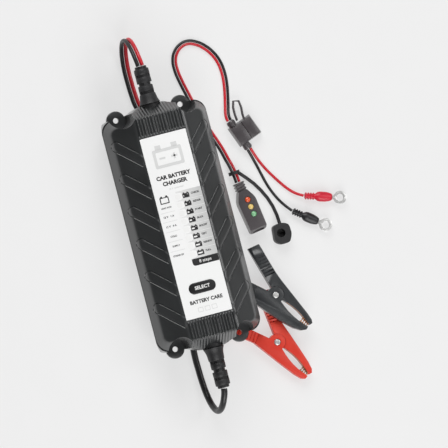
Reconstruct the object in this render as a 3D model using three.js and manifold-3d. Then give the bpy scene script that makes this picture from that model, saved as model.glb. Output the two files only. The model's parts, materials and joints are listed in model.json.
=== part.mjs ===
// Car battery charger with its mains lead, clamp lead and battery harness.
// Millimetres, +Z up. The table is z = 0 and the charger lies on its folded mains lead.
// Inside the file everything is placed from the charger's centre, and the whole object is
// then moved so that the centre of its base is the origin.
import * as THREE from 'three';
import { mergeVertices } from 'three/addons/utils/BufferGeometryUtils.js';
import Module from 'manifold-3d';

const wasm = await Module();
wasm.setup();

// ---- driving dimensions -------------------------------------------------------------------

const fitGap = 0.3; // clearance between pieces that touch

// case
const caseLength = 226; // along Y, over the two end walls
const caseWidth = 98; // along X, at the parting line
const caseHeight = 48;
const partingHeight = 23; // from the flat back
const shoulderHeight = 34; // where the side panels begin
const wall = 2.6;
const plateauHalfWidth = 23.5; // flat middle of the front
const sideDraft = 6; // how far the back and the shoulder lie inside the parting line
const endSlope = 10.8; // how far the front stops short of the end wall
const cornerRadius = 14;
const gasketThickness = 1;
const gasketInset = 0.7;

// screw ears and case screws
const earHoleRadius = 2.5;
const earRadius = 8.5;
const earThickness = 4;
const earInsetX = 18.7; // from the case side to the hole
const earInsetY = 7; // from the case end to the hole
const scallopRadius = 9.6;
const screwRadius = 1.6;
const screwHeadRadius = 3;
const screwHeadHeight = 1.8;
const screwLength = 20;
const bossRadius = 4.2;
const bossInsetX = 15; // from the case side to the boss
const bossInsetY = 31; // from the case end to the boss

// front label, key and lights
const labelWidth = 43;
const labelLength = 167;
const labelThickness = 0.5;
const labelRecess = 0.9;
const keyLength = 24.6;
const keyWidth = 9.4;
const keyRise = 0.6;
const keyFlange = 1.2;
const keyFlangeThickness = 1.3;
const keyTravel = 0.7;
const keyOffsetY = -57.6;
const windowCount = 8;
const windowPitch = 7.56;
const windowTop = 25.6; // Y of the first light window
const windowLength = 5;
const windowWidth = 2;
const ribCount = 4; // grooves at each end of the front
const ribPitch = 9;
const grooveWidth = 1.3;
const grooveDepth = 0.9;
const fingerCount = 6; // slanted ribs on each side panel
const fingerPitch = 29.8;
const fingerSpacing = 9;
const fingerAngle = THREE.MathUtils.degToRad(39);
const fingerLength = 24;

// strain reliefs
const glandHeight = 25; // axis above the flat back
const glandFlangeRadius = 9;
const glandNeckRadius = 6.3;
const glandBaseRadius = 8.3;
const glandRingRadius = 6.8;
const glandGrooveRadius = 5.3;
const glandSeat = 9; // how far the base is sunk into the end wall
const glandFlange = 2.8;
const glandRings = 3;
const dcGlandTip = 147.5; // Y of the DC strain relief's end
const mainsGlandTip = 150.2; // the same at the mains end

// circuit board and what stands on it
const boardThickness = 1.6;
const boardLevel = 8;
const boardMargin = 4.2;
const coreSize = [30, 32, 24];
const coreY = -8;
const windingThickness = 6;
const capacitorRadius = 8.5;
const capacitorLength = 30;
const chokeRadius = 8;
const chokeTube = 3.6;
const sinkSize = [12, 46, 24];
const sinkFins = 4;
const displayThickness = 1.2;
const displaySize = [34, 104];
const displayY = -18;
const displayDrop = 8.8; // display board's top below the front

// leads
const mainsDiameter = 5.9;
const leadDiameter = 3.7;
const harnessDiameter = 2.6;

// folded mains lead, on which the charger lies
const hankRows = 3;
const hankHalfWidth = 24; // to the outside of the lead
const hankRun = 118; // straight part
const hankCentre = [-10, 6];

// mains plug
const plugWidth = 35.3;
const plugThickness = 13.7;
const plugBody = 37;
const plugRelief = 18;
const plugPlace = [-10, 10]; // inside the folded lead, where the lead enters its strain relief
const pinRadius = 2;
const pinSpacing = 18.6;
const pinLength = 19;

// quick connector
const quickWidth = 12.4;
const quickHeight = 11;
const quickLength = 27;
const quickPlace = [21.5, 74]; // where the DC lead enters

// clamps
const clampThickness = 8.7;
const clampReach = 41;
const handleReach = 48;
const handleHalfWidth = 5.4;
const hubRadius = 7.4;
const clampPinRadius = 2.8;
const cheekThickness = 2.2;
const springWire = 1.6;
const jawThickness = 1.5;
const jawClosed = 0.9; // half the gap between the jaws' roots and tips
const jawBow = 2.3; // how much farther apart each jaw stands at its middle
const toothCount = 4;
const jawInset = 1.6; // the metal jaws are this much thinner than the arms on each side
const springFloor = 0.9; // arm left under the spring

// battery harness
const connectorLength = 47.5;
const connectorWidth = 16.8;
const connectorHeight = 13;
const neckWidth = 8.1;
const neckLength = 8;
const lensRadius = 2.5;
const lensPitch = 7;
const socketSize = [11, 6.4];
const socketDepth = 12;
const contactRadius = 1.1;
const tetherDiameter = 3.2;
const capPocketRadius = 4;
const fuseBoxLength = 24; // body and cap together
const fuseBoxWidth = 20;
const fuseBoxHeight = 9.6;
const fuseBodyLength = 12;
const fuseWall = 1.6;
const fuseSize = [10.9, 3.6, 5]; // width, thickness and height of the fuse's head
const terminalHole = 3.2;
const terminalRadius = 6;
const terminalThickness = 1;
const bootLength = 25;
const bootRadius = 4.6;

// ---- derived places ------------------------------------------------------------------------

const halfWidth = caseWidth / 2;
const halfLength = caseLength / 2;
const hankHeight = hankRows * mainsDiameter;
const backLevel = hankHeight + fitGap; // height of the charger's flat back above the table
const earX = halfWidth - earInsetX;
const earY = halfLength - earInsetY;
const bossX = halfWidth - bossInsetX;
const bossY = halfLength - bossInsetY;
const ceiling = caseHeight - labelRecess - 2.1; // underside of the front
const boardTop = boardLevel + boardThickness;
const displayTop = caseHeight - displayDrop;

// ---- shape helpers -------------------------------------------------------------------------

function solid(geometry) {
  const bare = new THREE.BufferGeometry();
  bare.setAttribute('position', geometry.getAttribute('position'));
  if (geometry.index) bare.setIndex(geometry.index);
  const merged = mergeVertices(bare, 1e-4);
  return new wasm.Manifold(new wasm.Mesh({
    numProp: 3,
    vertProperties: Float32Array.from(merged.getAttribute('position').array),
    triVerts: Uint32Array.from(merged.index.array),
  }));
}

function geometryOf(shape) {
  const mesh = shape.getMesh();
  const geometry = new THREE.BufferGeometry();
  geometry.setAttribute('position', new THREE.BufferAttribute(mesh.vertProperties, 3));
  geometry.setIndex(new THREE.BufferAttribute(mesh.triVerts, 1));
  geometry.computeVertexNormals();
  return geometry;
}

const join = (first, ...others) => others.reduce((sum, other) => sum.add(other), first);
const cut = (first, ...others) => others.reduce((rest, other) => rest.subtract(other), first);

function box(low, high) {
  const size = high.map((value, axis) => value - low[axis]);
  const geometry = new THREE.BoxGeometry(...size);
  return solid(geometry.translate(...low.map((value, axis) => value + size[axis] / 2)));
}

function post(radius, x, y, low, high, sides = 12) {
  const geometry = new THREE.CylinderGeometry(radius, radius, high - low, sides);
  geometry.rotateX(Math.PI / 2);
  return solid(geometry.translate(x, y, (low + high) / 2));
}

// A cylinder or a turned profile of [radius, distance] pairs along +Y.
function turned(profile, sides = 14) {
  return solid(new THREE.LatheGeometry(profile.map(([radius, y]) => new THREE.Vector2(radius, y)), sides));
}

function outline(points) {
  return new THREE.Shape(points.map(([x, y]) => new THREE.Vector2(x, y)));
}

// An outline whose corners are rounded by quadratic arcs of the given size.
function roundedOutline(corners, radius) {
  const shape = new THREE.Shape();
  corners.forEach((corner, index) => {
    const here = new THREE.Vector2(...corner);
    const before = new THREE.Vector2(...corners.at(index - 1));
    const after = new THREE.Vector2(...corners[(index + 1) % corners.length]);
    const size = corner[2] ?? radius;
    const start = here.clone().add(before.sub(here).setLength(size));
    const end = here.clone().add(after.sub(here).setLength(size));
    if (index === 0) shape.moveTo(start.x, start.y);
    else shape.lineTo(start.x, start.y);
    shape.quadraticCurveTo(here.x, here.y, end.x, end.y);
  });
  shape.closePath();
  return shape;
}

function pill(length, width, x, y) {
  const radius = width / 2;
  const shape = new THREE.Shape();
  shape.absarc(x + length / 2 - radius, y, radius, -Math.PI / 2, Math.PI / 2, false);
  shape.absarc(x - length / 2 + radius, y, radius, Math.PI / 2, Math.PI * 1.5, false);
  return shape;
}

// Extrusions of a flat outline: standing up, along Y (outline in x and z), along X (in y and z).
function raised(shape, low, high, segments = 4) {
  const options = { depth: high - low, bevelEnabled: false, curveSegments: segments };
  return solid(new THREE.ExtrudeGeometry(shape, options).translate(0, 0, low));
}

function alongY(shape, low, high) {
  const geometry = new THREE.ExtrudeGeometry(shape, { depth: high - low, bevelEnabled: false });
  return solid(geometry.rotateX(Math.PI / 2).translate(0, high, 0));
}

function alongX(shape, low, high) {
  const geometry = new THREE.ExtrudeGeometry(shape, { depth: high - low, bevelEnabled: false });
  const turn = new THREE.Matrix4().makeBasis(
    new THREE.Vector3(0, 1, 0),
    new THREE.Vector3(0, 0, 1),
    new THREE.Vector3(1, 0, 0),
  );
  return solid(geometry.applyMatrix4(turn).translate(low, 0, 0));
}

// A round tube along a smooth curve through the points.
function tube(points, diameter, sides = 8) {
  const route = points.map((point) => new THREE.Vector3(...point));
  const curve = new THREE.CatmullRomCurve3(route, false, 'centripetal');
  const section = [];
  for (let side = 0; side < sides; side += 1) {
    const angle = (side / sides) * Math.PI * 2;
    section.push([Math.cos(angle) * diameter / 2, Math.sin(angle) * diameter / 2]);
  }
  const steps = Math.min(80, Math.ceil(curve.getLength() / (diameter * 3)));
  const options = { steps, extrudePath: curve, bevelEnabled: false };
  return solid(new THREE.ExtrudeGeometry(outline(section), options));
}

const moved = (shape, x, y, z) => shape.translate([x, y, z]);
const mirroredX = (shape) => shape.mirror([1, 0, 0]);
const mirroredY = (shape) => shape.mirror([0, 1, 0]);
const fourCorners = [[1, 1], [-1, 1], [1, -1], [-1, -1]];

// ---- materials -----------------------------------------------------------------------------

const looks = {
  casing: [0x232527, 0.55, 0],
  rubber: [0x1b1c1e, 0.7, 0],
  gasket: [0x101112, 0.9, 0],
  label: [0xf2f2f0, 0.35, 0],
  key: [0x1a1a1c, 0.4, 0],
  board: [0x1f6b3a, 0.6, 0],
  ferrite: [0x2f2f31, 0.6, 0.1],
  copper: [0xb4713d, 0.4, 0.8],
  capacitor: [0x27304f, 0.4, 0],
  aluminium: [0xb8babd, 0.35, 1],
  steel: [0xc4c4c2, 0.3, 1],
  guide: [0xf4f6f8, 0.2, 0],
  redWire: [0xc8282d, 0.45, 0],
  blackWire: [0x17181a, 0.5, 0],
  redClamp: [0xe03028, 0.4, 0],
  blackClamp: [0x22262a, 0.5, 0],
  redLens: [0xd9553a, 0.3, 0],
  yellowLens: [0xe0c268, 0.3, 0],
  greenLens: [0x86c49a, 0.3, 0],
  fuse: [0xd88a2a, 0.3, 0],
};

function part(group, name, shape, look) {
  const [color, roughness, metalness] = looks[look];
  const material = new THREE.MeshStandardMaterial({ color, roughness, metalness });
  const mesh = new THREE.Mesh(geometryOf(shape), material);
  mesh.name = name;
  group.add(mesh);
  return mesh;
}

function placedGroup(parent, x, y, z, degrees = 0) {
  const group = new THREE.Group();
  group.position.set(x, y, z);
  group.rotation.z = THREE.MathUtils.degToRad(degrees);
  parent.add(group);
  return group;
}

// ---- case ----------------------------------------------------------------------------------

// Outer form of the whole case, or the same form pulled in by an inset.
function caseForm(inset) {
  const edge = halfWidth - inset;
  const narrow = halfWidth - sideDraft - inset;
  const top = caseHeight - inset;
  const flat = plateauHalfWidth - inset * 0.4;
  const shoulder = shoulderHeight - inset * 0.4;
  const section = outline([
    [-narrow, inset], [narrow, inset], [edge, partingHeight], [narrow, shoulder],
    [flat, top], [-flat, top], [-narrow, shoulder], [-edge, partingHeight],
  ]);
  const end = halfLength - inset;
  const front = halfLength - endSlope - inset * 0.7;
  const profile = outline([
    [-end + 2, inset], [end - 2, inset], [end, partingHeight], [end - 0.5, partingHeight + 5],
    [front, top], [-front, top], [-end + 0.5, partingHeight + 5], [-end, partingHeight],
  ]);
  const nose = 10;
  const step = earX - scallopRadius;
  const plan = roundedOutline([
    [edge, -end + 6, cornerRadius], [edge, end - 6, cornerRadius], [step, end - 5, 2], [nose, end, 2],
    [-nose, end, 2], [-step, end - 5, 2], [-edge, end - 6, cornerRadius], [-edge, -end + 6, cornerRadius],
    [-step, -end + 5, 2], [-nose, -end, 2], [nose, -end, 2], [step, -end + 5, 2],
  ], 2);
  const form = alongY(section, -halfLength, halfLength)
    .intersect(alongX(profile, -halfWidth, halfWidth))
    .intersect(raised(plan, 0, caseHeight, 3));
  const floor = inset > 0 ? 0 : earThickness;
  const scallops = fourCorners.map(([x, y]) => (
    post(scallopRadius + inset, x * earX, y * earY, floor, caseHeight + 1, 16)
  ));
  return cut(form, ...scallops);
}

const slab = (low, high) => box([-caseWidth, -caseLength, low], [caseWidth, caseLength, high]);

// Sleeve of wall material round a strain relief, inside the end of the case.
function glandCollar() {
  const collar = turned([[0, -glandSeat - 7], [11.6, -glandSeat - 7], [11.6, 0], [0, 0]], 14);
  return moved(collar, 0, halfLength, glandHeight);
}

function glandHole() {
  const seat = glandBaseRadius + fitGap;
  const neck = glandNeckRadius + fitGap;
  const hole = turned([
    [0, -glandSeat - 12], [neck, -glandSeat - 12], [neck, -glandSeat],
    [seat, -glandSeat], [seat, 6], [0, 6],
  ], 14);
  return moved(hole, 0, halfLength, glandHeight);
}

const outer = caseForm(0);
const inner = caseForm(wall);
const collars = join(glandCollar(), mirroredY(glandCollar())).intersect(outer);
const glandHoles = join(glandHole(), mirroredY(glandHole()));
const shell = cut(join(cut(outer, inner), collars), glandHoles);

const seamLow = partingHeight - gasketThickness / 2;
const seamHigh = partingHeight + gasketThickness / 2;

function rearCover() {
  const bosses = fourCorners.map(([x, y]) => (
    post(bossRadius, x * bossX, y * bossY, 0.5, boardLevel - fitGap)
  ));
  const ears = fourCorners.map(([x, y]) => post(earRadius, x * earX, y * earY, 0, earThickness, 18));
  const lower = shell.intersect(slab(-1, seamLow - fitGap));
  const holes = fourCorners.flatMap(([x, y]) => [
    post(screwRadius + fitGap, x * bossX, y * bossY, -1, boardLevel + 1),
    post(screwHeadRadius + fitGap, x * bossX, y * bossY, -1, screwHeadHeight + fitGap * 2),
    post(earHoleRadius, x * earX, y * earY, -1, earThickness + 1),
  ]);
  return cut(join(lower, ...bosses, ...ears), ...holes);
}

function endGrooves() {
  const start = labelLength / 2 + 2;
  const front = halfLength - endSlope;
  const deep = caseHeight - grooveDepth;
  const profile = outline([
    [start, deep], [front - 0.6, deep], [halfLength - 1.6, partingHeight + 4],
    [halfLength + 3, partingHeight + 4], [halfLength + 3, caseHeight + 3], [start, caseHeight + 3],
  ]);
  const grooves = [];
  for (let index = 0; index < ribCount; index += 1) {
    const x = (index - (ribCount - 1) / 2) * ribPitch;
    const groove = alongX(profile, x - grooveWidth / 2, x + grooveWidth / 2);
    grooves.push(groove, mirroredY(groove));
  }
  return grooves;
}

function fingerGrooves() {
  const rise = caseHeight - shoulderHeight;
  const run = halfWidth - sideDraft - plateauHalfWidth;
  const tilt = Math.atan2(rise, run);
  const middle = [halfWidth - sideDraft - run / 2, shoulderHeight + rise / 2];
  const grooves = [];
  for (let index = 0; index < fingerCount; index += 1) {
    const y = (index - (fingerCount - 1) / 2) * fingerPitch;
    for (const side of [-0.5, 0.5]) {
      const bar = new THREE.BoxGeometry(fingerLength, grooveWidth, grooveDepth * 2);
      bar.translate(0, side * fingerSpacing, 0);
      bar.rotateZ(fingerAngle);
      bar.rotateY(tilt);
      const groove = solid(bar.translate(middle[0], y, middle[1]));
      grooves.push(groove, mirroredX(groove));
    }
  }
  return grooves;
}

const keyOpening = pill(keyLength + fitGap * 2, keyWidth + fitGap * 2, 0, keyOffsetY);
const windowX = -1;
const windowY = (index) => windowTop - index * windowPitch;

function frontCover() {
  const upper = shell.intersect(slab(seamHigh + fitGap, caseHeight + 1));
  const bosses = fourCorners.map(([x, y]) => (
    post(bossRadius, x * bossX, y * bossY, boardTop + fitGap, caseHeight - 3)
  ));
  const standoffX = displaySize[0] / 2 - 3;
  const standoffY = displaySize[1] / 2 - 4;
  const standoffs = fourCorners.map(([x, y]) => (
    post(2.4, x * standoffX, displayY + y * standoffY, displayTop + fitGap, ceiling + 1, 10)
  ));
  const body = join(upper, ...[...bosses, ...standoffs].map((piece) => piece.intersect(outer)));
  const labelHole = box(
    [-labelWidth / 2 - fitGap, -labelLength / 2 - fitGap, caseHeight - labelRecess],
    [labelWidth / 2 + fitGap, labelLength / 2 + fitGap, caseHeight + 2],
  );
  const pilots = fourCorners.map(([x, y]) => (
    post(screwRadius + fitGap, x * bossX, y * bossY, boardLevel, screwLength + 4)
  ));
  const keyHole = raised(keyOpening, ceiling - 2, caseHeight + 2);
  const windows = [];
  for (let index = 0; index < windowCount; index += 1) {
    windows.push(box(
      [windowX - windowLength / 2 - fitGap, windowY(index) - windowWidth / 2 - fitGap, ceiling - 2],
      [windowX + windowLength / 2 + fitGap, windowY(index) + windowWidth / 2 + fitGap, caseHeight + 2],
    ));
  }
  return cut(body, labelHole, keyHole, ...pilots, ...windows, ...endGrooves(), ...fingerGrooves());
}

function caseGasket() {
  const ring = cut(caseForm(gasketInset), caseForm(wall - gasketInset)).intersect(slab(seamLow, seamHigh));
  const clear = glandBaseRadius + fitGap;
  const passage = turned([[0, -40], [clear, -40], [clear, 8], [0, 8]], 14);
  const opening = moved(passage, 0, halfLength, glandHeight);
  // the strain reliefs cross the seam, so the ring is two halves that meet behind them
  const bridgeLow = halfLength - glandSeat - 17;
  const bridge = box([-14, bridgeLow, seamLow], [14, bridgeLow + 2, seamHigh]);
  const arms = [-1, 1].map((side) => box(
    [side * 13 - 1, bridgeLow, seamLow],
    [side * 13 + 1, halfLength, seamHigh],
  ));
  const link = join(bridge, ...arms).intersect(caseForm(gasketInset));
  return join(cut(ring, opening, mirroredY(opening)), link, mirroredY(link));
}

function caseScrew(x, y) {
  const head = post(screwHeadRadius, x, y, fitGap, fitGap + screwHeadHeight, 12);
  const shank = post(screwRadius, x, y, fitGap + 1, screwLength, 10);
  const driveSlot = box([x - 2, y - 0.4, -1], [x + 2, y + 0.4, fitGap + 0.8]);
  return cut(join(head, shank), driveSlot);
}

function gland(tip) {
  const seat = halfLength - glandSeat + fitGap;
  const flangeEnd = halfLength - glandSeat - 7 - fitGap;
  const ringZone = tip - 23;
  const profile = [
    [0, flangeEnd - glandFlange], [glandFlangeRadius, flangeEnd - glandFlange],
    [glandFlangeRadius, flangeEnd], [glandNeckRadius, flangeEnd], [glandNeckRadius, seat],
    [glandBaseRadius, seat],
    [glandBaseRadius, halfLength], [glandRingRadius, ringZone - 2], [glandGrooveRadius, ringZone - 2],
  ];
  const ringLength = 5.4;
  const ringPitch = 7.6;
  for (let ring = 0; ring < glandRings; ring += 1) {
    const start = ringZone + ring * ringPitch;
    profile.push([glandGrooveRadius, start], [glandRingRadius, start]);
    profile.push([glandRingRadius - 0.3, start + ringLength], [glandGrooveRadius, start + ringLength]);
  }
  profile.push([glandGrooveRadius, tip], [0, tip]);
  return turned(profile, 14);
}

const base = new THREE.Group();
const charger = placedGroup(base, 0, 0, backLevel);
const standing = [charger]; // what the object's own footprint is measured over

part(charger, 'rear_cover', rearCover(), 'casing');
part(charger, 'front_cover', frontCover(), 'casing');
part(charger, 'case_gasket', caseGasket(), 'gasket');
fourCorners.forEach(([x, y], index) => {
  part(charger, `case_screw_${index + 1}`, caseScrew(x * bossX, y * bossY), 'steel');
});

const dcGland = placedGroup(charger, 0, 0, glandHeight);
part(dcGland, 'dc_gland', gland(dcGlandTip), 'rubber');
const mainsGland = placedGroup(charger, 0, 0, glandHeight, 180);
part(mainsGland, 'mains_gland', gland(mainsGlandTip), 'rubber');

// ---- label, key and lights -----------------------------------------------------------------

function labelPanel() {
  const low = caseHeight - labelRecess + fitGap;
  const sheet = box(
    [-labelWidth / 2, -labelLength / 2, low],
    [labelWidth / 2, labelLength / 2, low + labelThickness],
  );
  return cut(sheet, raised(keyOpening, low - 1, low + 2, 8));
}

function selectButton() {
  const flangeHigh = ceiling - fitGap;
  const flange = pill(keyLength + keyFlange * 2, keyWidth + keyFlange * 2, 0, keyOffsetY);
  return join(
    raised(flange, flangeHigh - keyFlangeThickness, flangeHigh, 8),
    raised(pill(keyLength, keyWidth, 0, keyOffsetY), flangeHigh - 0.5, caseHeight + keyRise, 8),
  );
}

function keySwitch() {
  const low = displayTop + fitGap;
  const plungerTop = ceiling - fitGap - keyFlangeThickness - keyTravel - fitGap;
  return join(
    box([-3, keyOffsetY - 3, low], [3, keyOffsetY + 3, plungerTop - 0.8]),
    post(1.7, 0, keyOffsetY, plungerTop - 1, plungerTop, 12),
  );
}

function lightGuide() {
  const low = displayTop + fitGap;
  const first = windowY(0) + windowWidth / 2 + 1;
  const last = windowY(windowCount - 1) - windowWidth / 2 - 1;
  const rail = box([windowX - 4, last, low], [windowX + 4, first, low + 3]);
  const prongs = [];
  for (let index = 0; index < windowCount; index += 1) {
    prongs.push(box(
      [windowX - windowLength / 2, windowY(index) - windowWidth / 2, low + 2],
      [windowX + windowLength / 2, windowY(index) + windowWidth / 2, caseHeight - labelRecess],
    ));
  }
  return join(rail, ...prongs);
}

part(charger, 'label_panel', labelPanel(), 'label');
part(charger, 'select_button', selectButton(), 'key');
part(charger, 'key_switch', keySwitch(), 'steel');
part(charger, 'light_guide', lightGuide(), 'guide');
part(charger, 'display_board', box(
  [-displaySize[0] / 2, displayY - displaySize[1] / 2, displayTop - displayThickness],
  [displaySize[0] / 2, displayY + displaySize[1] / 2, displayTop],
), 'board');

// ---- circuit board -------------------------------------------------------------------------

function mainBoard() {
  const sheet = caseForm(wall + 1.5).intersect(slab(boardLevel, boardTop));
  const trimmed = sheet.intersect(box(
    [-halfWidth + boardMargin + sideDraft, -halfLength + 22, boardLevel - 1],
    [halfWidth - boardMargin - sideDraft, halfLength - 22, boardTop + 1],
  ));
  const holes = fourCorners.map(([x, y]) => (
    post(screwRadius + fitGap, x * bossX, y * bossY, 0, boardTop + 5)
  ));
  return cut(trimmed, ...holes);
}

function transformerParts() {
  const [width, length, height] = coreSize;
  const low = boardTop + fitGap;
  const block = box(
    [-width / 2, coreY - length / 2, low],
    [width / 2, coreY + length / 2, low + height],
  );
  const leg = width / 5;
  const windowLow = low + height * 0.2;
  const windowHigh = low + height * 0.8;
  const half = length / 2 + windingThickness;
  const outside = leg + windingThickness;
  const inside = leg + fitGap;
  const reach = length / 2 + fitGap;
  const coil = cut(
    box([-outside, coreY - half, windowLow], [outside, coreY + half, windowHigh]),
    box([-inside, coreY - reach, low], [inside, coreY + reach, low + height]),
  );
  const tunnels = [-1, 1].map((side) => {
    const near = side * leg;
    const far = side * (outside + fitGap);
    return box(
      [Math.min(near, far), coreY - length, windowLow - fitGap],
      [Math.max(near, far), coreY + length, windowHigh + fitGap],
    );
  });
  return { core: cut(block, ...tunnels), coil };
}

function inputCapacitor() {
  const can = turned([
    [0, 0], [capacitorRadius, 0], [capacitorRadius, 2], [capacitorRadius - 0.7, 2.8],
    [capacitorRadius, 3.6], [capacitorRadius, capacitorLength], [0, capacitorLength],
  ], 16);
  return moved(can, -19, -76, boardTop + fitGap + capacitorRadius);
}

function heatSink() {
  const [depth, length, height] = sinkSize;
  const low = boardTop + fitGap;
  const x = halfWidth - 25;
  const plate = box([x - depth / 2, 10, low], [x - depth / 2 + 3, 10 + length, low + height]);
  const fins = [];
  for (let fin = 0; fin < sinkFins; fin += 1) {
    const z = low + 2 + fin * ((height - 5) / (sinkFins - 1));
    fins.push(box([x - depth / 2 + 2, 10, z], [x + depth / 2, 10 + length, z + 1.4]));
  }
  return join(plate, ...fins);
}

const transformer = transformerParts();
part(charger, 'main_board', mainBoard(), 'board');
part(charger, 'transformer_core', transformer.core, 'ferrite');
part(charger, 'transformer_winding', transformer.coil, 'copper');
part(charger, 'input_capacitor', inputCapacitor(), 'capacitor');
part(charger, 'heat_sink', heatSink(), 'aluminium');
const choke = solid(new THREE.TorusGeometry(chokeRadius, chokeTube, 8, 18));
part(charger, 'filter_choke', moved(choke, 18, -62, boardTop + fitGap + chokeTube), 'copper');

// ---- mains lead and plug -------------------------------------------------------------------

const mainsRoute = [
  [0, -150.9, 43], [-0.6, -154.4, 42.8], [-2.2, -160, 40.8], [-4, -165.4, 36], [-5.6, -168.6, 29.5],
  [-7, -169.2, 22.5], [-8.2, -166.4, 15.8], [-9.2, -160.6, 9.6], [-10, -152.6, 5.4], [-10.7, -142, 3.4],
  [-11.2, -128, 3], [-11.3, -118, 3], [-10.6, -109, 3], [-7.4, -99.6, 3], [-1.6, -91.2, 3],
  [4.6, -83.6, 3], [9.2, -76.4, 3], [10.9, -70.6, 3],
];
const tailRoute = [
  [-24.6, 47.5, 13.9], [-21.6, 42, 12.8], [-18, 36, 11.2], [-14.6, 29.6, 9.4], [-11.8, 22.6, 7.8],
  [-10.3, 16, 7], [-10, 10.8, 6.85],
];

function foldedLead() {
  const ring = new THREE.Shape();
  const reach = hankRun / 2;
  const [x, y] = hankCentre;
  ring.absarc(x, y + reach, hankHalfWidth, 0, Math.PI, false);
  ring.absarc(x, y - reach, hankHalfWidth, Math.PI, Math.PI * 2, false);
  const hole = new THREE.Path();
  const inside = hankHalfWidth - mainsDiameter;
  hole.absarc(x, y + reach, inside, 0, Math.PI, false);
  hole.absarc(x, y - reach, inside, Math.PI, Math.PI * 2, false);
  ring.holes.push(hole);
  return raised(ring, 0, hankHeight, 10);
}

function mainsPlug() {
  const half = plugWidth / 2;
  const body = raised(roundedOutline([
    [-half, -plugBody, 3], [half, -plugBody, 3], [half, -plugBody * 0.55, 5], [half * 0.55, 0, 4],
    [-half * 0.55, 0, 4], [-half, -plugBody * 0.55, 5],
  ], 3), 0, plugThickness);
  const relief = turned([[0, -4], [5, -4], [5, 0], [3.8, plugRelief], [0, plugRelief]], 12);
  return join(body, moved(relief, 0, 0, plugThickness / 2));
}

part(base, 'mains_cord', tube(mainsRoute, mainsDiameter, 10), 'blackWire');
part(base, 'mains_hank', foldedLead(), 'blackWire');
part(base, 'mains_tail', tube(tailRoute, mainsDiameter, 10), 'blackWire');
const plug = placedGroup(base, plugPlace[0], plugPlace[1] - plugRelief, 0);
part(plug, 'mains_plug', mainsPlug(), 'rubber');
[-1, 1].forEach((side, index) => {
  const pin = turned([
    [0, -plugBody - fitGap - pinLength], [pinRadius - 0.7, -plugBody - fitGap - pinLength],
    [pinRadius, -plugBody - pinLength + 1], [pinRadius, -plugBody - fitGap], [0, -plugBody - fitGap],
  ], 12);
  const place = moved(pin, side * pinSpacing / 2, 0, plugThickness / 2);
  part(plug, `plug_pin_${index + 1}`, place, 'steel');
});

// ---- DC lead, quick connector and clamp lead -----------------------------------------------

// The DC lead turns over beside the case, then runs back under it to the quick connector.
const dcTurnRoute = [
  [0, 147.9, 43], [-0.3, 151.5, 42.9], [-0.8, 156.5, 41.9], [-1.3, 162.8, 39], [-1.8, 168.8, 34],
  [-2.4, 172.8, 27.6], [-3.1, 173.9, 20.4], [-3.9, 171.6, 13.4], [-4.7, 166, 7.6], [-5.4, 158, 3.7],
  [-5.9, 148, 2], [-5.9, 137, 1.9],
];
const dcUnderRoute = [
  [-5.4, 125, 1.9], [-4.2, 114.6, 1.9], [-0.4, 104.6, 1.9], [6.2, 96.2, 1.9], [13.6, 89, 2.2],
  [19, 82.8, 3.6], [21.5, 77.6, 5.2], [21.5, 74.4, 5.5],
];
const clampRedRoute = [
  [19.6, 19.2, 5.5], [19.5, 13, 4.5], [19.4, 4, 2.4], [19.4, -8, 1.9], [19.4, -22, 1.9],
  [19.4, -36, 1.9], [19.2, -50, 1.9], [18.6, -62, 1.9], [17.4, -72, 1.9], [16.6, -80, 2.1],
  [16.8, -86.4, 2.8], [18.2, -91.2, 3.6], [20.6, -94.4, 4.3],
];
const clampBlackRoute = [
  [23.4, 19.2, 5.5], [23.6, 13, 4.9], [23.9, 4, 3], [24, -8, 2.2], [23.8, -19, 3.2], [23.4, -29, 6],
  [23.4, -38.6, 9.6], [25, -46.8, 12.2], [29.2, -53.4, 13.35],
];

// Two wires side by side: each point of the middle line moved across the line, level with the table.
function besides(points, offset) {
  return points.map(([x, y, z], index) => {
    const before = points[Math.max(index - 1, 0)];
    const after = points[Math.min(index + 1, points.length - 1)];
    const length = Math.hypot(after[0] - before[0], after[1] - before[1]);
    const across = [(after[1] - before[1]) / length, -(after[0] - before[0]) / length];
    return [x + across[0] * offset, y + across[1] * offset, z];
  });
}

const pairGap = 0.3;
const sideways = (points, offset) => points.map(([x, y, z]) => [x + offset, y, z]);
const leadOffset = (leadDiameter + pairGap) / 2;

function connectorHalf(length) {
  const half = quickWidth / 2;
  const body = raised(roundedOutline([
    [-half, -length, 1], [half, -length, 1], [half, -7, 2],
    [half - 1.6, 0, 1], [-half + 1.6, 0, 1], [-half, -7, 2],
  ], 1), 0, quickHeight, 2);
  const grips = [0, 1, 2, 3].flatMap((index) => [-1, 1].map((side) => box(
    [side * half - 0.6, -12 - index * 3, -1],
    [side * half + 0.6, -11 - index * 3, quickHeight + 1],
  )));
  return cut(body, ...grips);
}

const dcWire = (offset) => [...sideways(dcTurnRoute, offset), ...besides(dcUnderRoute, -offset)];
part(base, 'dc_wire_red', tube(dcWire(leadOffset), leadDiameter), 'redWire');
part(base, 'dc_wire_black', tube(dcWire(-leadOffset), leadDiameter), 'blackWire');
const quick = placedGroup(base, quickPlace[0], quickPlace[1], 0);
part(quick, 'quick_plug', connectorHalf(quickLength), 'rubber');
const socketEnd = placedGroup(quick, 0, -2 * quickLength - fitGap, 0, 180);
part(socketEnd, 'clamp_lead_socket', connectorHalf(quickLength), 'rubber');
part(base, 'clamp_wire_red', tube(clampRedRoute, leadDiameter), 'redWire');
part(base, 'clamp_wire_black', tube(clampBlackRoute, leadDiameter), 'blackWire');

// ---- clamps --------------------------------------------------------------------------------

// Local frame: pivot at the origin, jaws towards +X, the arm on the +Y side.
function jawLine(x) {
  const along = (x - 6.5) / (clampReach - 6.5);
  return jawClosed + jawBow * Math.sin(Math.PI * along);
}

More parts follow.
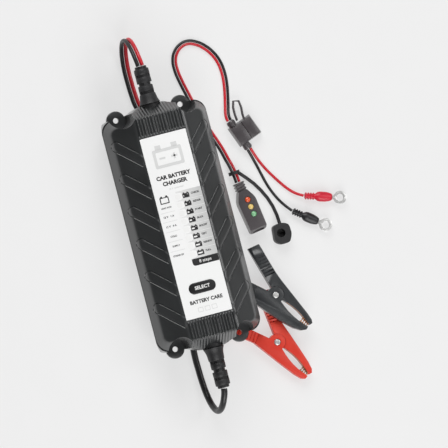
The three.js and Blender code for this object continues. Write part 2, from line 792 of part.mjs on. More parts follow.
function armOutline(spread, swell) {
  const lean = THREE.MathUtils.degToRad(spread);
  const end = [-handleReach * Math.cos(lean), handleReach * Math.sin(lean)];
  const across = [Math.sin(lean) * handleHalfWidth, Math.cos(lean) * handleHalfWidth];
  const inside = Math.atan2(end[1] - across[1], -end[0] + across[0]);
  const root = hubRadius - 1;
  const points = [[root, 0.9]];
  for (let step = 0; step <= 6; step += 1) {
    const x = 8 + (clampReach - 8) * step / 6;
    points.push([x, jawLine(x)]);
  }
  points.push([clampReach + 0.6, 4], [clampReach - 2, 6.4 + swell * 0.3]);
  points.push([clampReach - 9, 8.4 + swell * 0.7]);
  points.push([18, 10.9 + swell], [3, 13.3 + swell], [-6, 14.6 + swell], [-14, 15.8 + swell * 0.6]);
  points.push([end[0] + across[0], end[1] + across[1]], [end[0] - across[0], end[1] - across[1]]);
  points.push([-root * Math.cos(inside), root * Math.sin(inside)]);
  return points;
}

function jawStrip(expand) {
  const inner = [];
  const outerEdge = [];
  const first = 12;
  for (let step = 0; step <= 6; step += 1) {
    const x = first + (clampReach - 0.6 - first) * step / 6;
    inner.push([x, jawLine(x) - expand]);
    outerEdge.unshift([x, jawLine(x) + jawThickness + expand]);
  }
  inner[0][0] -= expand;
  outerEdge.at(-1)[0] -= expand;
  const beyond = clampReach + expand * 6;
  const mouth = [[beyond, inner.at(-1)[1]], [beyond, outerEdge[0][1]]];
  return expand > 0 ? [...inner, ...mouth, ...outerEdge] : [...inner, ...outerEdge];
}

function jawShape() {
  const points = jawStrip(0);
  const teeth = [];
  for (let tooth = 0; tooth < toothCount; tooth += 1) {
    const x = clampReach - 1.4 - tooth * 2.2;
    teeth.push(outline([[x, jawLine(x) + 0.4], [x - 2, jawLine(x - 2) + 0.4], [x - 1, 0.28]]));
  }
  return { strip: outline(points), teeth };
}

function clampArm(spread, swell, forked) {
  const slotLow = cheekThickness + fitGap;
  const slotHigh = clampThickness - cheekThickness - fitGap;
  const body = raised(outline(armOutline(spread, swell)), 0, clampThickness);
  const clear = hubRadius + fitGap;
  const room = forked
    ? [post(clear, 0, 0, slotLow - fitGap, slotHigh + fitGap, 28)]
    : [post(clear, 0, 0, -1, slotLow, 28), post(clear, 0, 0, slotHigh, clampThickness + 1, 28)];
  const farCheek = clampThickness - cheekThickness;
  const hub = forked
    ? [post(hubRadius, 0, 0, 0, cheekThickness, 28), post(hubRadius, 0, 0, farCheek, clampThickness, 28)]
    : [post(hubRadius, 0, 0, slotLow, slotHigh, 28)];
  const springRoom = clampPinRadius + springWire + fitGap * 3;
  const springPocket = post(springRoom, 0, 0, slotLow + springFloor, slotHigh + 1, 20);
  const jawPocket = raised(outline(jawStrip(fitGap)), jawInset - fitGap, clampThickness - jawInset + fitGap);
  const pinHole = post(clampPinRadius + fitGap, 0, 0, -1, clampThickness + 1, 20);
  const whole = cut(join(cut(body, ...room), ...hub), pinHole, jawPocket);
  return forked ? whole : cut(whole, springPocket);
}

function clampJaw() {
  const { strip, teeth } = jawShape();
  const high = clampThickness - jawInset;
  return join(raised(strip, jawInset, high), ...teeth.map((tooth) => raised(tooth, jawInset, high)));
}

function springCoil() {
  const low = cheekThickness + springFloor + fitGap * 2;
  const high = clampThickness - cheekThickness - fitGap - 0.2;
  const inside = clampPinRadius + fitGap;
  const outside = inside + springWire;
  const coil = turned([[inside, low], [outside, low], [outside, high], [inside, high], [inside, low]], 20);
  return coil.rotate([90, 0, 0]);
}

function addClamp(name, look, x, y, z, direction, spread, upperSwell, lowerSwell) {
  const group = placedGroup(base, x, y, z, direction);
  standing.push(group);
  part(group, `${name}_clamp_lower_arm`, mirroredY(clampArm(spread, lowerSwell, true)), look);
  part(group, `${name}_clamp_upper_arm`, clampArm(spread, upperSwell, false), look);
  part(group, `${name}_clamp_lower_jaw`, mirroredY(clampJaw()), 'copper');
  part(group, `${name}_clamp_upper_jaw`, clampJaw(), 'copper');
  part(group, `${name}_clamp_pin`, post(clampPinRadius, 0, 0, 0.05, clampThickness, 20), 'steel');
  part(group, `${name}_clamp_spring`, springCoil(), 'steel');
}

addClamp('red', 'redClamp', 64.2, -123.4, 0, -61.2, 28, 0, 0);
addClamp('black', 'blackClamp', 72, -81.8, clampThickness + fitGap, -57.2, 22.5, -1.2, 3.5);

// ---- battery harness: indicator connector --------------------------------------------------

const connectorDirection = -81;
const connector = placedGroup(base, 66.4, 24.4, 0, connectorDirection);
const firstLens = 17;
const lensOffset = 0.9;
const lensFloor = connectorHeight - 3;

function indicatorConnector() {
  const half = connectorWidth / 2;
  const shoulder = neckLength + 9;
  const body = raised(roundedOutline([
    [neckLength, -neckWidth / 2, 0.5], [shoulder, -half, 3], [connectorLength, -half + 0.6, 2],
    [connectorLength, half - 0.6, 2], [shoulder, half, 3], [neckLength, neckWidth / 2, 0.5],
  ], 1), 0, connectorHeight, 3);
  const neck = box([0, -neckWidth / 2, 2.4], [neckLength + 1, neckWidth / 2, 10.4]);
  const ribs = [0, 1, 2].map((index) => box(
    [index * 2.7, -neckWidth / 2 - 0.7, 1.8],
    [index * 2.7 + 1.5, neckWidth / 2 + 0.7, 11],
  ));
  const slopedEnd = alongY(outline([
    [connectorLength - 4, connectorHeight + 1], [connectorLength + 1, 2],
    [connectorLength + 3, connectorHeight + 1],
  ]), -half - 1, half + 1);
  const [socketWidth, socketHeight] = socketSize;
  const socket = box(
    [connectorLength - socketDepth, -socketWidth / 2, (connectorHeight - socketHeight) / 2],
    [connectorLength + 1, socketWidth / 2, (connectorHeight + socketHeight) / 2],
  );
  const wells = [0, 1, 2].map((index) => (
    post(lensRadius + fitGap, firstLens + index * lensPitch, lensOffset, lensFloor, connectorHeight + 1, 14)
  ));
  const contacts = [-1, 1].map((side) => {
    const pin = turned([[0, 0], [contactRadius, 0], [contactRadius, 6], [0, 6]], 10).rotate([0, 0, -90]);
    return moved(pin, connectorLength - socketDepth - 0.5, side * 2.7, connectorHeight / 2);
  });
  return join(cut(join(body, neck, ...ribs), slopedEnd, socket, ...wells), ...contacts);
}

function lens(index) {
  const dome = turned([
    [0, 0], [lensRadius, 0], [lensRadius, 2.7], [lensRadius * 0.8, 3.4], [lensRadius * 0.4, 3.8], [0, 3.9],
  ], 14).rotate([90, 0, 0]);
  return moved(dome, firstLens + index * lensPitch, lensOffset, lensFloor + fitGap);
}

part(connector, 'indicator_connector', indicatorConnector(), 'rubber');
['red', 'yellow', 'green'].forEach((colour, index) => {
  part(connector, `${colour}_lens`, lens(index), `${colour}Lens`);
});

// ---- dust cap on its tether ----------------------------------------------------------------

const tetherRingPlace = [65.4, 34, 5.4];
const tetherRoute = [
  [69.6, 33.2, 4.6], [73, 29.8, 3.2], [78, 24.4, 1.7], [83, 17.8, 1.7], [87.4, 10, 1.7], [91, 2, 1.7],
  [93.4, -6.4, 1.7], [94.4, -14, 2.4], [94.6, -21, 3.4],
];
const capPlace = [93.6, -29.4];

function dustCap() {
  const ring = turned([[3.4, -1.6], [5.3, -1.6], [5.3, 1.6], [3.4, 1.6], [3.4, -1.6]], 16).rotate([0, 0, 4]);
  const cup = raised(roundedOutline([
    [-8.2, -6], [-3, -10], [5, -9.4], [8.4, -2], [7.6, 7], [1, 9.6], [-7, 8],
  ], 2.8), 0, 10.6, 3);
  const pocket = post(capPocketRadius, -1.2, 0.4, 3.4, 12, 18);
  const cap = moved(cut(cup, pocket), capPlace[0], capPlace[1], 0);
  return join(moved(ring, ...tetherRingPlace), tube(tetherRoute, tetherDiameter), cap);
}

part(base, 'dust_cap', dustCap(), 'rubber');

// ---- fuse holder ---------------------------------------------------------------------------

const fuseTurn = 21;
const fuseStart = -6; // back of the holder, measured from the wire line
const fuse = placedGroup(base, 79.9, 66.5, 0, fuseTurn);
const collarLevel = 4.7;
const collarLength = 6;
const fuseDraft = 2.4;
const split = fuseStart + fuseBodyLength;
const fuseEnd = fuseStart + fuseBoxLength;

// Box whose front is smaller than its back: drafted at the free end and at both sides.
function fuseBlock(low, high) {
  const half = fuseBoxWidth / 2;
  const side = outline([
    [-half, 0], [half, 0], [half - fuseDraft * 0.5, fuseBoxHeight], [-half + fuseDraft * 0.5, fuseBoxHeight],
  ]);
  const front = outline([
    [fuseStart, 0], [fuseEnd, 0], [fuseEnd - fuseDraft, fuseBoxHeight], [fuseStart + 0.6, fuseBoxHeight],
  ]);
  const block = alongX(side, fuseStart, fuseEnd).intersect(alongY(front, -half, half));
  return block.intersect(box([low, -half - 1, -1], [high, half + 1, fuseBoxHeight + 1]));
}

function fuseHolderBody() {
  const half = fuseBoxWidth / 2;
  const tongue = box(
    [split - 1, -half + fuseWall + fuseDraft * 0.5 + fitGap, fuseWall + fitGap],
    [split + 2.4, half - fuseWall - fuseDraft * 0.5 - fitGap, fuseBoxHeight - fuseWall - fitGap],
  );
  const slot = box([split - 4, -6.2, 3], [split + 5, 6.2, 6.6]);
  const collars = [-1, 1].map((side) => {
    const collar = turned([[0, 0], [3.6, 0], [4.1, 4.4], [3.5, collarLength], [0, collarLength]], 12);
    const outward = side > 0 ? collar : mirroredY(collar);
    return moved(outward, -1, side * (half - 1), collarLevel);
  });
  return cut(join(fuseBlock(fuseStart, split), tongue, ...collars), slot);
}

const tetherLoop = [
  [10.5, 8, 5], [12.4, 14, 5], [15.2, 20, 5], [16.4, 25, 5], [14.2, 28.6, 5],
  [10.8, 26.8, 5], [7.8, 21, 5], [5.6, 15, 5], [4.8, 11.6, 5],
];

function fuseCap() {
  const half = fuseBoxWidth / 2;
  const cavity = box(
    [split - 1, -half + fuseWall + fuseDraft * 0.5, fuseWall],
    [fuseEnd - fuseDraft - fuseWall, half - fuseWall - fuseDraft * 0.5, fuseBoxHeight - fuseWall],
  );
  const block = fuseBlock(split + fitGap, fuseEnd);
  return join(cut(block, cavity), cut(tube(tetherLoop, 2.2), cavity));
}

function bladeFuse() {
  const [width, thickness, height] = fuseSize;
  const start = split + 2.7;
  const middle = fuseBoxHeight / 2;
  const head = box(
    [start, -width / 2, middle - thickness / 2],
    [start + height, width / 2, middle + thickness / 2],
  );
  const blades = [-1, 1].map((side) => box(
    [split - 3, side * 3.7 - 1.4, middle - 0.4],
    [start + 1, side * 3.7 + 1.4, middle + 0.4],
  ));
  return join(head, ...blades);
}

part(fuse, 'fuse_holder_body', fuseHolderBody(), 'rubber');
part(fuse, 'fuse_cap', fuseCap(), 'rubber');
part(fuse, 'blade_fuse', bladeFuse(), 'fuse');

// ---- harness wires and ring terminals ------------------------------------------------------

const harnessRoute = [
  [66.3, 25, 6.4], [65.9, 29.6, 6.2], [65.3, 34.6, 5.4], [64.4, 41, 3.4], [62.8, 48, 1.6], [60.8, 56, 1.4],
  [57.8, 65, 1.4], [53.8, 76, 1.4], [49.6, 88.6, 1.4], [45.8, 101.4, 1.4], [42.6, 114.4, 1.4],
  [40, 126, 1.4], [38.4, 137, 1.4], [39, 146, 1.4], [42.4, 152.8, 1.4], [48, 157.2, 1.4],
  [55, 158.6, 1.4], [62, 156.2, 1.4], [68.6, 151.2, 1.4], [74, 144.4, 1.4], [77.9, 136, 1.4],
  [79.6, 126, 1.4], [79.2, 115, 1.4], [77.3, 104, 1.4],
  [75, 94.4, 2], [73.1, 87.4, 3.6], [72.8, 83.6, 4.5], [73.4, 80.7, 4.7],
];
const branchRedRoute = [
  [85.8, 52.1, 4.7], [87, 48.6, 3.9], [89, 43.6, 2.3], [91.8, 37.2, 1.4], [95.4, 30, 1.4], [100, 22.4, 1.4],
  [105.2, 14.6, 1.4], [110.6, 7.6, 1.6], [116, 2.3, 3], [122.1, -1.5, 4.6],
];
const branchBlackRoute = [
  [83.1, 51, 4.7], [84.4, 47, 3.7], [86.2, 41.6, 2], [88.2, 34.4, 1.4], [90.2, 26, 1.4],
  [92.4, 17.4, 1.4], [95.6, 8.6, 1.4], [99.8, 0.2, 1.4], [103.8, -6, 2.4], [108.2, -11.9, 4.6],
];
const harnessOffset = (harnessDiameter + pairGap) / 2;

function terminalBoot() {
  const profile = [[0, 0], [2.4, 0]];
  for (let rib = 0; rib < 3; rib += 1) {
    const start = rib * 3.3;
    profile.push([2.9, start + 0.3], [2.9, start + 2.2], [2.1, start + 2.4], [2.1, start + 3.2]);
  }
  profile.push([3, 10.4], [bootRadius, 14], [bootRadius - 0.4, 19]);
  profile.push([bootRadius - 1.5, bootLength], [0, bootLength]);
  return turned(profile, 12).rotate([0, 0, -90]);
}

function ringTerminal() {
  const centre = bootLength + fitGap + terminalRadius + 1.2;
  const plate = join(
    post(terminalRadius, centre, 0, 0, terminalThickness, 24),
    box([bootLength + fitGap, -2.6, 0], [centre, 2.6, terminalThickness]),
  );
  return cut(plate, post(terminalHole, centre, 0, -1, terminalThickness + 1, 20));
}

function addTerminal(colour, look, x, y, degrees) {
  const group = placedGroup(base, x, y, bootRadius + 0.05, degrees);
  part(group, `ring_boot_${colour}`, terminalBoot(), look);
  part(group, `ring_terminal_${colour}`, moved(ringTerminal(), 0, 0, -terminalThickness / 2), 'steel');
}

part(base, 'harness_wire_red', tube(besides(harnessRoute, harnessOffset), harnessDiameter), 'redWire');
part(base, 'harness_wire_black', tube(besides(harnessRoute, -harnessOffset), harnessDiameter), 'blackWire');
part(base, 'branch_wire_red', tube(branchRedRoute, harnessDiameter), 'redWire');
part(base, 'branch_wire_black', tube(branchBlackRoute, harnessDiameter), 'blackWire');
addTerminal('red', 'redWire', 122.8, -1.9, -16.8);
addTerminal('black', 'blackWire', 108.8, -12.5, -36.5);

// ---- whole object --------------------------------------------------------------------------

const group = new THREE.Group();
group.add(base);
group.updateMatrixWorld(true);
const footprint = new THREE.Box3();
standing.forEach((piece) => footprint.union(new THREE.Box3().setFromObject(piece, true)));
const centre = footprint.getCenter(new THREE.Vector3());
base.position.set(-centre.x, -centre.y, 0);

export default group;
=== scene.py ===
# Car battery charger with its leads, clamps and battery harness.
# Places are written in millimetres from the middle of the charger; build() turns them into metres.
import json
import math

import bmesh
import bpy
from mathutils import Matrix, Vector
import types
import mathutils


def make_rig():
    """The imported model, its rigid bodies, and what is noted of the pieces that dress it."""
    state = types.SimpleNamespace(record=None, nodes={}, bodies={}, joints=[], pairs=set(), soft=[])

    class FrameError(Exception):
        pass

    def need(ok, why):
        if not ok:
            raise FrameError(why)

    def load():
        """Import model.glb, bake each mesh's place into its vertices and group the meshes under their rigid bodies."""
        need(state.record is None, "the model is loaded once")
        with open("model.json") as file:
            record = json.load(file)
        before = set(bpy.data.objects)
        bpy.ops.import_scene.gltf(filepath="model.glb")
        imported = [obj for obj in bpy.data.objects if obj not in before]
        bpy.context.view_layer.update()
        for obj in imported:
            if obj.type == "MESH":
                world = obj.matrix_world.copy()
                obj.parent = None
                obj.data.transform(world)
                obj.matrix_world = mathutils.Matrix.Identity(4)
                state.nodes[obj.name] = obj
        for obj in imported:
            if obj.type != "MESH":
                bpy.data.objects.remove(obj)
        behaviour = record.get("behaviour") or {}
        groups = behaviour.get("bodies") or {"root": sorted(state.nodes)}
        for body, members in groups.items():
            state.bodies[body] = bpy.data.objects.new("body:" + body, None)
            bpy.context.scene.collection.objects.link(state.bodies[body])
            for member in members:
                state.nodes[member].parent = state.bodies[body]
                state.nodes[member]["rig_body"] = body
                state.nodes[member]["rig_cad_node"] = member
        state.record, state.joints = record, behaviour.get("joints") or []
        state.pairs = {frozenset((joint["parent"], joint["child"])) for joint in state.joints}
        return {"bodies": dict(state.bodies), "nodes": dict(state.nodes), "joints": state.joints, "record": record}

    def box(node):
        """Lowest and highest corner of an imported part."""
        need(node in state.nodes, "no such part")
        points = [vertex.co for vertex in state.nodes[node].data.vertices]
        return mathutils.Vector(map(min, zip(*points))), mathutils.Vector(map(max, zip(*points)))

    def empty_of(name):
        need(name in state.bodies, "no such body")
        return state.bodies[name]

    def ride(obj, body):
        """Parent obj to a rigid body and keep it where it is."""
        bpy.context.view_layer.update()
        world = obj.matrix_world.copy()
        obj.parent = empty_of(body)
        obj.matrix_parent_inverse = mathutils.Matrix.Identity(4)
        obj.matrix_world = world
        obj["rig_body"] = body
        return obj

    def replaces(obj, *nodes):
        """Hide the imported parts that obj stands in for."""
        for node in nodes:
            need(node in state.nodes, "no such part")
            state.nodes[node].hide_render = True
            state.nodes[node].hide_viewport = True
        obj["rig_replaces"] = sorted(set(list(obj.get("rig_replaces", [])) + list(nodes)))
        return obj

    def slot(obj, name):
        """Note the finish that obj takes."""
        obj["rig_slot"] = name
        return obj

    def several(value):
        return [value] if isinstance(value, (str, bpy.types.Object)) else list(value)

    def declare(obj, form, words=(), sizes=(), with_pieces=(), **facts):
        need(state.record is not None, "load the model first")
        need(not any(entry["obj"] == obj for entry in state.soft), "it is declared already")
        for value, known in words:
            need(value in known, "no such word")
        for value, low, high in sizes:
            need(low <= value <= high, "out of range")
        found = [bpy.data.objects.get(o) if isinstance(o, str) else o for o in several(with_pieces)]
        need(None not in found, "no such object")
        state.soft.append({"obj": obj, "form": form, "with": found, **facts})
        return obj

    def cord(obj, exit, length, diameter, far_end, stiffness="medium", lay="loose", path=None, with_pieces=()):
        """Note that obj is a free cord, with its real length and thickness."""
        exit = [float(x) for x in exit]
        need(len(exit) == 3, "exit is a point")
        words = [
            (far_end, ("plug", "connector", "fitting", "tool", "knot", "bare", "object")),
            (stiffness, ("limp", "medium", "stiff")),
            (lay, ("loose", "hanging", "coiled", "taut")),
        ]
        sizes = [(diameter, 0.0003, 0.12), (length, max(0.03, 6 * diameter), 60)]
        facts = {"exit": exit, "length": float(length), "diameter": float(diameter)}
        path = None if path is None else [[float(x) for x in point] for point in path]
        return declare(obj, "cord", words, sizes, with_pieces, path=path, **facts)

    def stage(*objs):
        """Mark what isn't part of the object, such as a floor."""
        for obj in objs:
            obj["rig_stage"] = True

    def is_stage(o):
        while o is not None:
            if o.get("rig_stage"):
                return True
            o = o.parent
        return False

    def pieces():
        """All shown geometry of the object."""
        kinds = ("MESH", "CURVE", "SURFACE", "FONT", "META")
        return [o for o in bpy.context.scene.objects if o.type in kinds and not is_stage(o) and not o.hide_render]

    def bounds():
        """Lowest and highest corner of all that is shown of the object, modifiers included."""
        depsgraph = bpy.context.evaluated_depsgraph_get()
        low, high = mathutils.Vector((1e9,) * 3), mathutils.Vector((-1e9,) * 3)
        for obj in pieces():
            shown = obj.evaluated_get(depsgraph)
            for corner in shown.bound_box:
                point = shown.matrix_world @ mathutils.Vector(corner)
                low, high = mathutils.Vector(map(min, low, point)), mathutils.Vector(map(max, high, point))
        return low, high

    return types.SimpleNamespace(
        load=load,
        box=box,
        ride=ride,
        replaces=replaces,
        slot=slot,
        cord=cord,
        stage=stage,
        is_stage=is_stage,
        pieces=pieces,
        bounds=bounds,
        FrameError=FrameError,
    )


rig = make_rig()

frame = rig.load()
cad_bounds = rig.bounds()
nodes = frame["nodes"]

MM = 0.001
CASE_LOW, CASE_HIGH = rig.box("rear_cover")
CENTRE_X = (CASE_LOW.x + CASE_HIGH.x) / 2
CENTRE_Y = (CASE_LOW.y + CASE_HIGH.y) / 2
TO_FRAME = Matrix.Translation((CENTRE_X, CENTRE_Y, 0)) @ Matrix.Scale(MM, 4)
BACK = 18.0  # height of the charger's flat back


def spot(x, y, z):
    return TO_FRAME @ Vector((x, y, z))


def linked(name, data):
    piece = bpy.data.objects.new(name, data)
    bpy.context.scene.collection.objects.link(piece)
    return piece


def mesh_of(name, bm):
    mesh = bpy.data.meshes.new(name)
    bm.to_mesh(mesh)
    bm.free()
    return mesh


def finished_mesh(piece):
    """A mesh of the piece as its modifiers or its curve settings make it."""
    graph = bpy.context.evaluated_depsgraph_get()
    graph.update()
    return bpy.data.meshes.new_from_object(piece.evaluated_get(graph))


# ---- camera --------------------------------------------------------------------------------

AIM = (41.6, -8.2, 22)
VIEW_WIDTH = 0.403
VIEW_DISTANCE = 8.0
SENSOR = 36.0
LEAN = math.radians(10.4)
ROLL_COS, ROLL_SIN = 0.9677, 0.2521

backward = Vector((-math.sin(LEAN), 0, math.cos(LEAN)))
level = Vector((math.cos(LEAN), 0, math.sin(LEAN)))
ahead = Vector((0, 1, 0))
right = level * ROLL_COS - ahead * ROLL_SIN
upward = level * ROLL_SIN + ahead * ROLL_COS
camera_data = bpy.data.cameras.new("camera")
camera_data.sensor_width = SENSOR
camera_data.lens = SENSOR * VIEW_DISTANCE / VIEW_WIDTH
camera_data.clip_start = 0.1
camera_data.clip_end = 40
camera = linked("camera", camera_data)
turn = Matrix((right, upward, backward)).transposed().to_4x4()
camera.matrix_world = Matrix.Translation(spot(*AIM) + backward * VIEW_DISTANCE) @ turn
bpy.context.scene.camera = camera


# ---- finishes ------------------------------------------------------------------------------

def node_group(name, inputs, outputs):
    group = bpy.data.node_groups.new(name, "ShaderNodeTree")
    for label, default in inputs.items():
        socket = group.interface.new_socket(label, in_out="INPUT", socket_type="NodeSocketFloat")
        socket.default_value = default
    for label in outputs:
        group.interface.new_socket(label, in_out="OUTPUT", socket_type="NodeSocketFloat")
    return group, group.nodes.new("NodeGroupInput"), group.nodes.new("NodeGroupOutput")


def noise_node(tree, scale, detail, vector):
    noise = tree.nodes.new("ShaderNodeTexNoise")
    noise.inputs["Detail"].default_value = detail
    tree.links.new(vector, noise.inputs["Vector"])
    tree.links.new(scale, noise.inputs["Scale"])
    return noise.outputs["Fac"]


def spread_node(tree, value, low, high, to_low, to_high):
    span = tree.nodes.new("ShaderNodeMapRange")
    span.inputs["From Min"].default_value = low
    span.inputs["From Max"].default_value = high
    span.inputs["To Min"].default_value = to_low
    span.inputs["To Max"].default_value = to_high
    tree.links.new(value, span.inputs["Value"])
    return span.outputs["Result"]


def mix_node(tree, factor, first, second):
    """Two colours mixed; the first may come from another node."""
    mix = tree.nodes.new("ShaderNodeMix")
    mix.data_type = "RGBA"
    if isinstance(first, bpy.types.NodeSocket):
        tree.links.new(first, mix.inputs["A"])
    else:
        mix.inputs["A"].default_value = (*first, 1)
    mix.inputs["B"].default_value = (*second, 1)
    tree.links.new(factor, mix.inputs["Factor"])
    return mix.outputs["Result"]


def group_node(tree, group, **values):
    node = tree.nodes.new("ShaderNodeGroup")
    node.node_tree = group
    for label, value in values.items():
        node.inputs[label].default_value = value
    return node


def make_grain():
    """Fine moulded grain as a height, and slow cloudy change as a mask."""
    group, given, put = node_group("moulded_grain", {"Grain": 2600.0, "Cloud": 28.0}, ["Height", "Cloudy"])
    place = group.nodes.new("ShaderNodeTexCoord")
    fine = noise_node(group, given.outputs["Grain"], 3.0, place.outputs["Object"])
    slow = noise_node(group, given.outputs["Cloud"], 5.0, place.outputs["Object"])
    group.links.new(fine, put.inputs["Height"])
    group.links.new(spread_node(group, slow, 0.35, 0.65, 0.0, 1.0), put.inputs["Cloudy"])
    return group


def make_scuffs():
    """Sparse fine scratches and dust specks as a mask."""
    group, given, put = node_group("scuffs", {"Scale": 240.0}, ["Mask"])
    place = group.nodes.new("ShaderNodeTexCoord")
    stretch = group.nodes.new("ShaderNodeMapping")
    stretch.inputs["Scale"].default_value = (1.0, 0.12, 1.0)
    stretch.inputs["Rotation"].default_value = (0.3, 0.2, 0.6)
    group.links.new(place.outputs["Object"], stretch.inputs["Vector"])
    lines = noise_node(group, given.outputs["Scale"], 6.0, stretch.outputs["Vector"])
    group.links.new(spread_node(group, lines, 0.66, 0.76, 0.0, 1.0), put.inputs["Mask"])
    return group


GRAIN = make_grain()
SCUFFS = make_scuffs()


def finish_of(name, colour, second, roughness, rough_span=0.08, metallic=0.0, grain=2600.0,
              cloud=28.0, depth=0.00003, scuff=0.0, coat=0.0, settings=None):
    """A moulded, painted or metal surface: two close tones, uneven gloss, grain and faint scuffs."""
    material = bpy.data.materials.new(name)
    material.use_nodes = True
    tree = material.node_tree
    shader = tree.nodes["Principled BSDF"]
    surface = group_node(tree, GRAIN, Grain=grain, Cloud=cloud)
    painted = mix_node(tree, surface.outputs["Cloudy"], colour, second)
    gloss = spread_node(tree, surface.outputs["Cloudy"], 0.0, 1.0, roughness, roughness + rough_span)
    if scuff > 0:
        weight = spread_node(tree, group_node(tree, SCUFFS).outputs["Mask"], 0.0, 1.0, 0.0, scuff)
        painted = mix_node(tree, weight, painted, [min(1.0, c * 1.6 + 0.05) for c in second])
    tree.links.new(painted, shader.inputs["Base Color"])
    tree.links.new(gloss, shader.inputs["Roughness"])
    shader.inputs["Metallic"].default_value = metallic
    shader.inputs["Coat Weight"].default_value = coat
    for socket, value in (settings or {}).items():
        shader.inputs[socket].default_value = value
    bump = tree.nodes.new("ShaderNodeBump")
    bump.inputs["Strength"].default_value = 0.5
    bump.inputs["Distance"].default_value = depth
    tree.links.new(surface.outputs["Height"], bump.inputs["Height"])
    tree.links.new(bump.outputs["Normal"], shader.inputs["Normal"])
    return material


SATIN = {"coat": 1.0, "settings": {"Specular IOR Level": 0.6, "Coat IOR": 1.6, "Coat Roughness": 0.3}}
THIN_SATIN = {**SATIN, "coat": 0.6}
MOULDED = {"grain": 1500, "depth": 0.00004}
WORN_METAL = {"grain": 900, "cloud": 60, "scuff": 0.2}
WIRE_SKIN = {"grain": 700, "cloud": 60, "depth": 0.00002}

CASING = finish_of("casing_grain", (0.010, 0.0115, 0.012), (0.016, 0.018, 0.019), 0.34, 0.1,
                   scuff=0.06, **MOULDED, **SATIN)
RUBBER = finish_of("soft_rubber", (0.013, 0.013, 0.014), (0.021, 0.021, 0.023), 0.46, 0.14,
                   grain=1800, depth=0.00004, scuff=0.12)
GASKET = finish_of("gasket_rubber", (0.008, 0.008, 0.008), (0.014, 0.014, 0.014), 0.8)
LABEL = finish_of("label_film", (0.93, 0.935, 0.93), (0.95, 0.95, 0.945), 0.3, grain=900, cloud=14,
                  depth=0.00001)
PRINT_BLACK = finish_of("black_print", (0.012, 0.012, 0.013), (0.02, 0.02, 0.021), 0.4, 0.06)
PRINT_GREY = finish_of("grey_print", (0.60, 0.605, 0.60), (0.63, 0.635, 0.63), 0.4, 0.06)
PRINT_PALE = finish_of("pale_print", (0.70, 0.705, 0.70), (0.74, 0.745, 0.74), 0.4, 0.06)
PRINT_WHITE = finish_of("white_print", (0.88, 0.88, 0.87), (0.92, 0.92, 0.91), 0.36, 0.06)
KEY = finish_of("key_cap", (0.010, 0.010, 0.011), (0.017, 0.017, 0.018), 0.3, 0.1, grain=1800)
STEEL = finish_of("plated_steel", (0.66, 0.66, 0.65), (0.78, 0.78, 0.77), 0.28, 0.14, 0.55, **WORN_METAL)
ZINC = finish_of("zinc_screw", (0.42, 0.42, 0.41), (0.55, 0.55, 0.53), 0.32, 0.14, 1.0, **WORN_METAL)
COPPER = finish_of("copper_strip", (0.42, 0.17, 0.08), (0.55, 0.26, 0.13), 0.3, 0.16, 1.0,
                   **{**WORN_METAL, "cloud": 80})
RED_WIRE = finish_of("red_wire_skin", (0.60, 0.016, 0.028), (0.68, 0.024, 0.04), 0.3, 0.1,
                     coat=0.15, **WIRE_SKIN)
BLACK_WIRE = finish_of("black_wire_skin", (0.011, 0.011, 0.012), (0.02, 0.02, 0.021), 0.34, 0.12,
                       coat=0.1, **WIRE_SKIN)
RED_GRIP = finish_of("red_clamp_plastic", (0.68, 0.040, 0.022), (0.76, 0.055, 0.03), 0.34, 0.1,
                     scuff=0.12, **MOULDED)
BLACK_GRIP = finish_of("black_clamp_plastic", (0.014, 0.016, 0.018), (0.024, 0.027, 0.030), 0.34, 0.12,
                       scuff=0.10, **MOULDED, **THIN_SATIN)
HOLDER = finish_of("fuse_holder_plastic", (0.044, 0.036, 0.040), (0.058, 0.049, 0.053), 0.4, 0.1,
                   scuff=0.08, **MOULDED, **THIN_SATIN)
RED_BOOT = finish_of("red_boot_vinyl", (0.62, 0.014, 0.035), (0.7, 0.022, 0.05), 0.3, 0.1, grain=1100)
BLACK_BOOT = finish_of("black_boot_vinyl", (0.012, 0.012, 0.014), (0.022, 0.022, 0.024), 0.32, 0.1,
                       grain=1100)
RED_LENS = finish_of("red_lens", (0.80, 0.10, 0.035), (0.86, 0.14, 0.05), 0.14, 0.06, coat=0.5)
YELLOW_LENS = finish_of("yellow_lens", (0.80, 0.56, 0.16), (0.86, 0.63, 0.22), 0.14, 0.06, coat=0.5)
GREEN_LENS = finish_of("green_lens", (0.20, 0.50, 0.25), (0.26, 0.57, 0.31), 0.14, 0.06, coat=0.5)
BOARD = finish_of("circuit_board", (0.02, 0.16, 0.06), (0.035, 0.21, 0.08), 0.4, 0.1)
FERRITE = finish_of("ferrite", (0.03, 0.03, 0.031), (0.05, 0.05, 0.05), 0.6, 0.12)
WINDING = finish_of("enamelled_wire", (0.40, 0.16, 0.06), (0.5, 0.22, 0.09), 0.3, 0.12, 0.6)
SLEEVE = finish_of("capacitor_sleeve", (0.02, 0.03, 0.12), (0.03, 0.045, 0.16), 0.32)
ALUMINIUM = finish_of("extruded_aluminium", (0.6, 0.61, 0.62), (0.7, 0.7, 0.71), 0.32, 0.14, 1.0,
                      scuff=0.2)
CLEAR = finish_of("clear_guide", (0.8, 0.82, 0.84), (0.86, 0.88, 0.9), 0.12, 0.06)
FUSE = finish_of("fuse_plastic", (0.72, 0.28, 0.04), (0.8, 0.35, 0.06), 0.2, coat=0.3)


# ---- mesh helpers --------------------------------------------------------------------------

def dress(piece, material, body, slot, replaced=()):
    piece.data.materials.clear()
    piece.data.materials.append(material)
    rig.ride(piece, body)
    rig.slot(piece, slot)
    if replaced:
        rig.replaces(piece, *replaced)
    return piece


def shade(mesh, degrees=32):
    mesh.shade_smooth()
    mesh.set_sharp_from_angle(angle=math.radians(degrees))


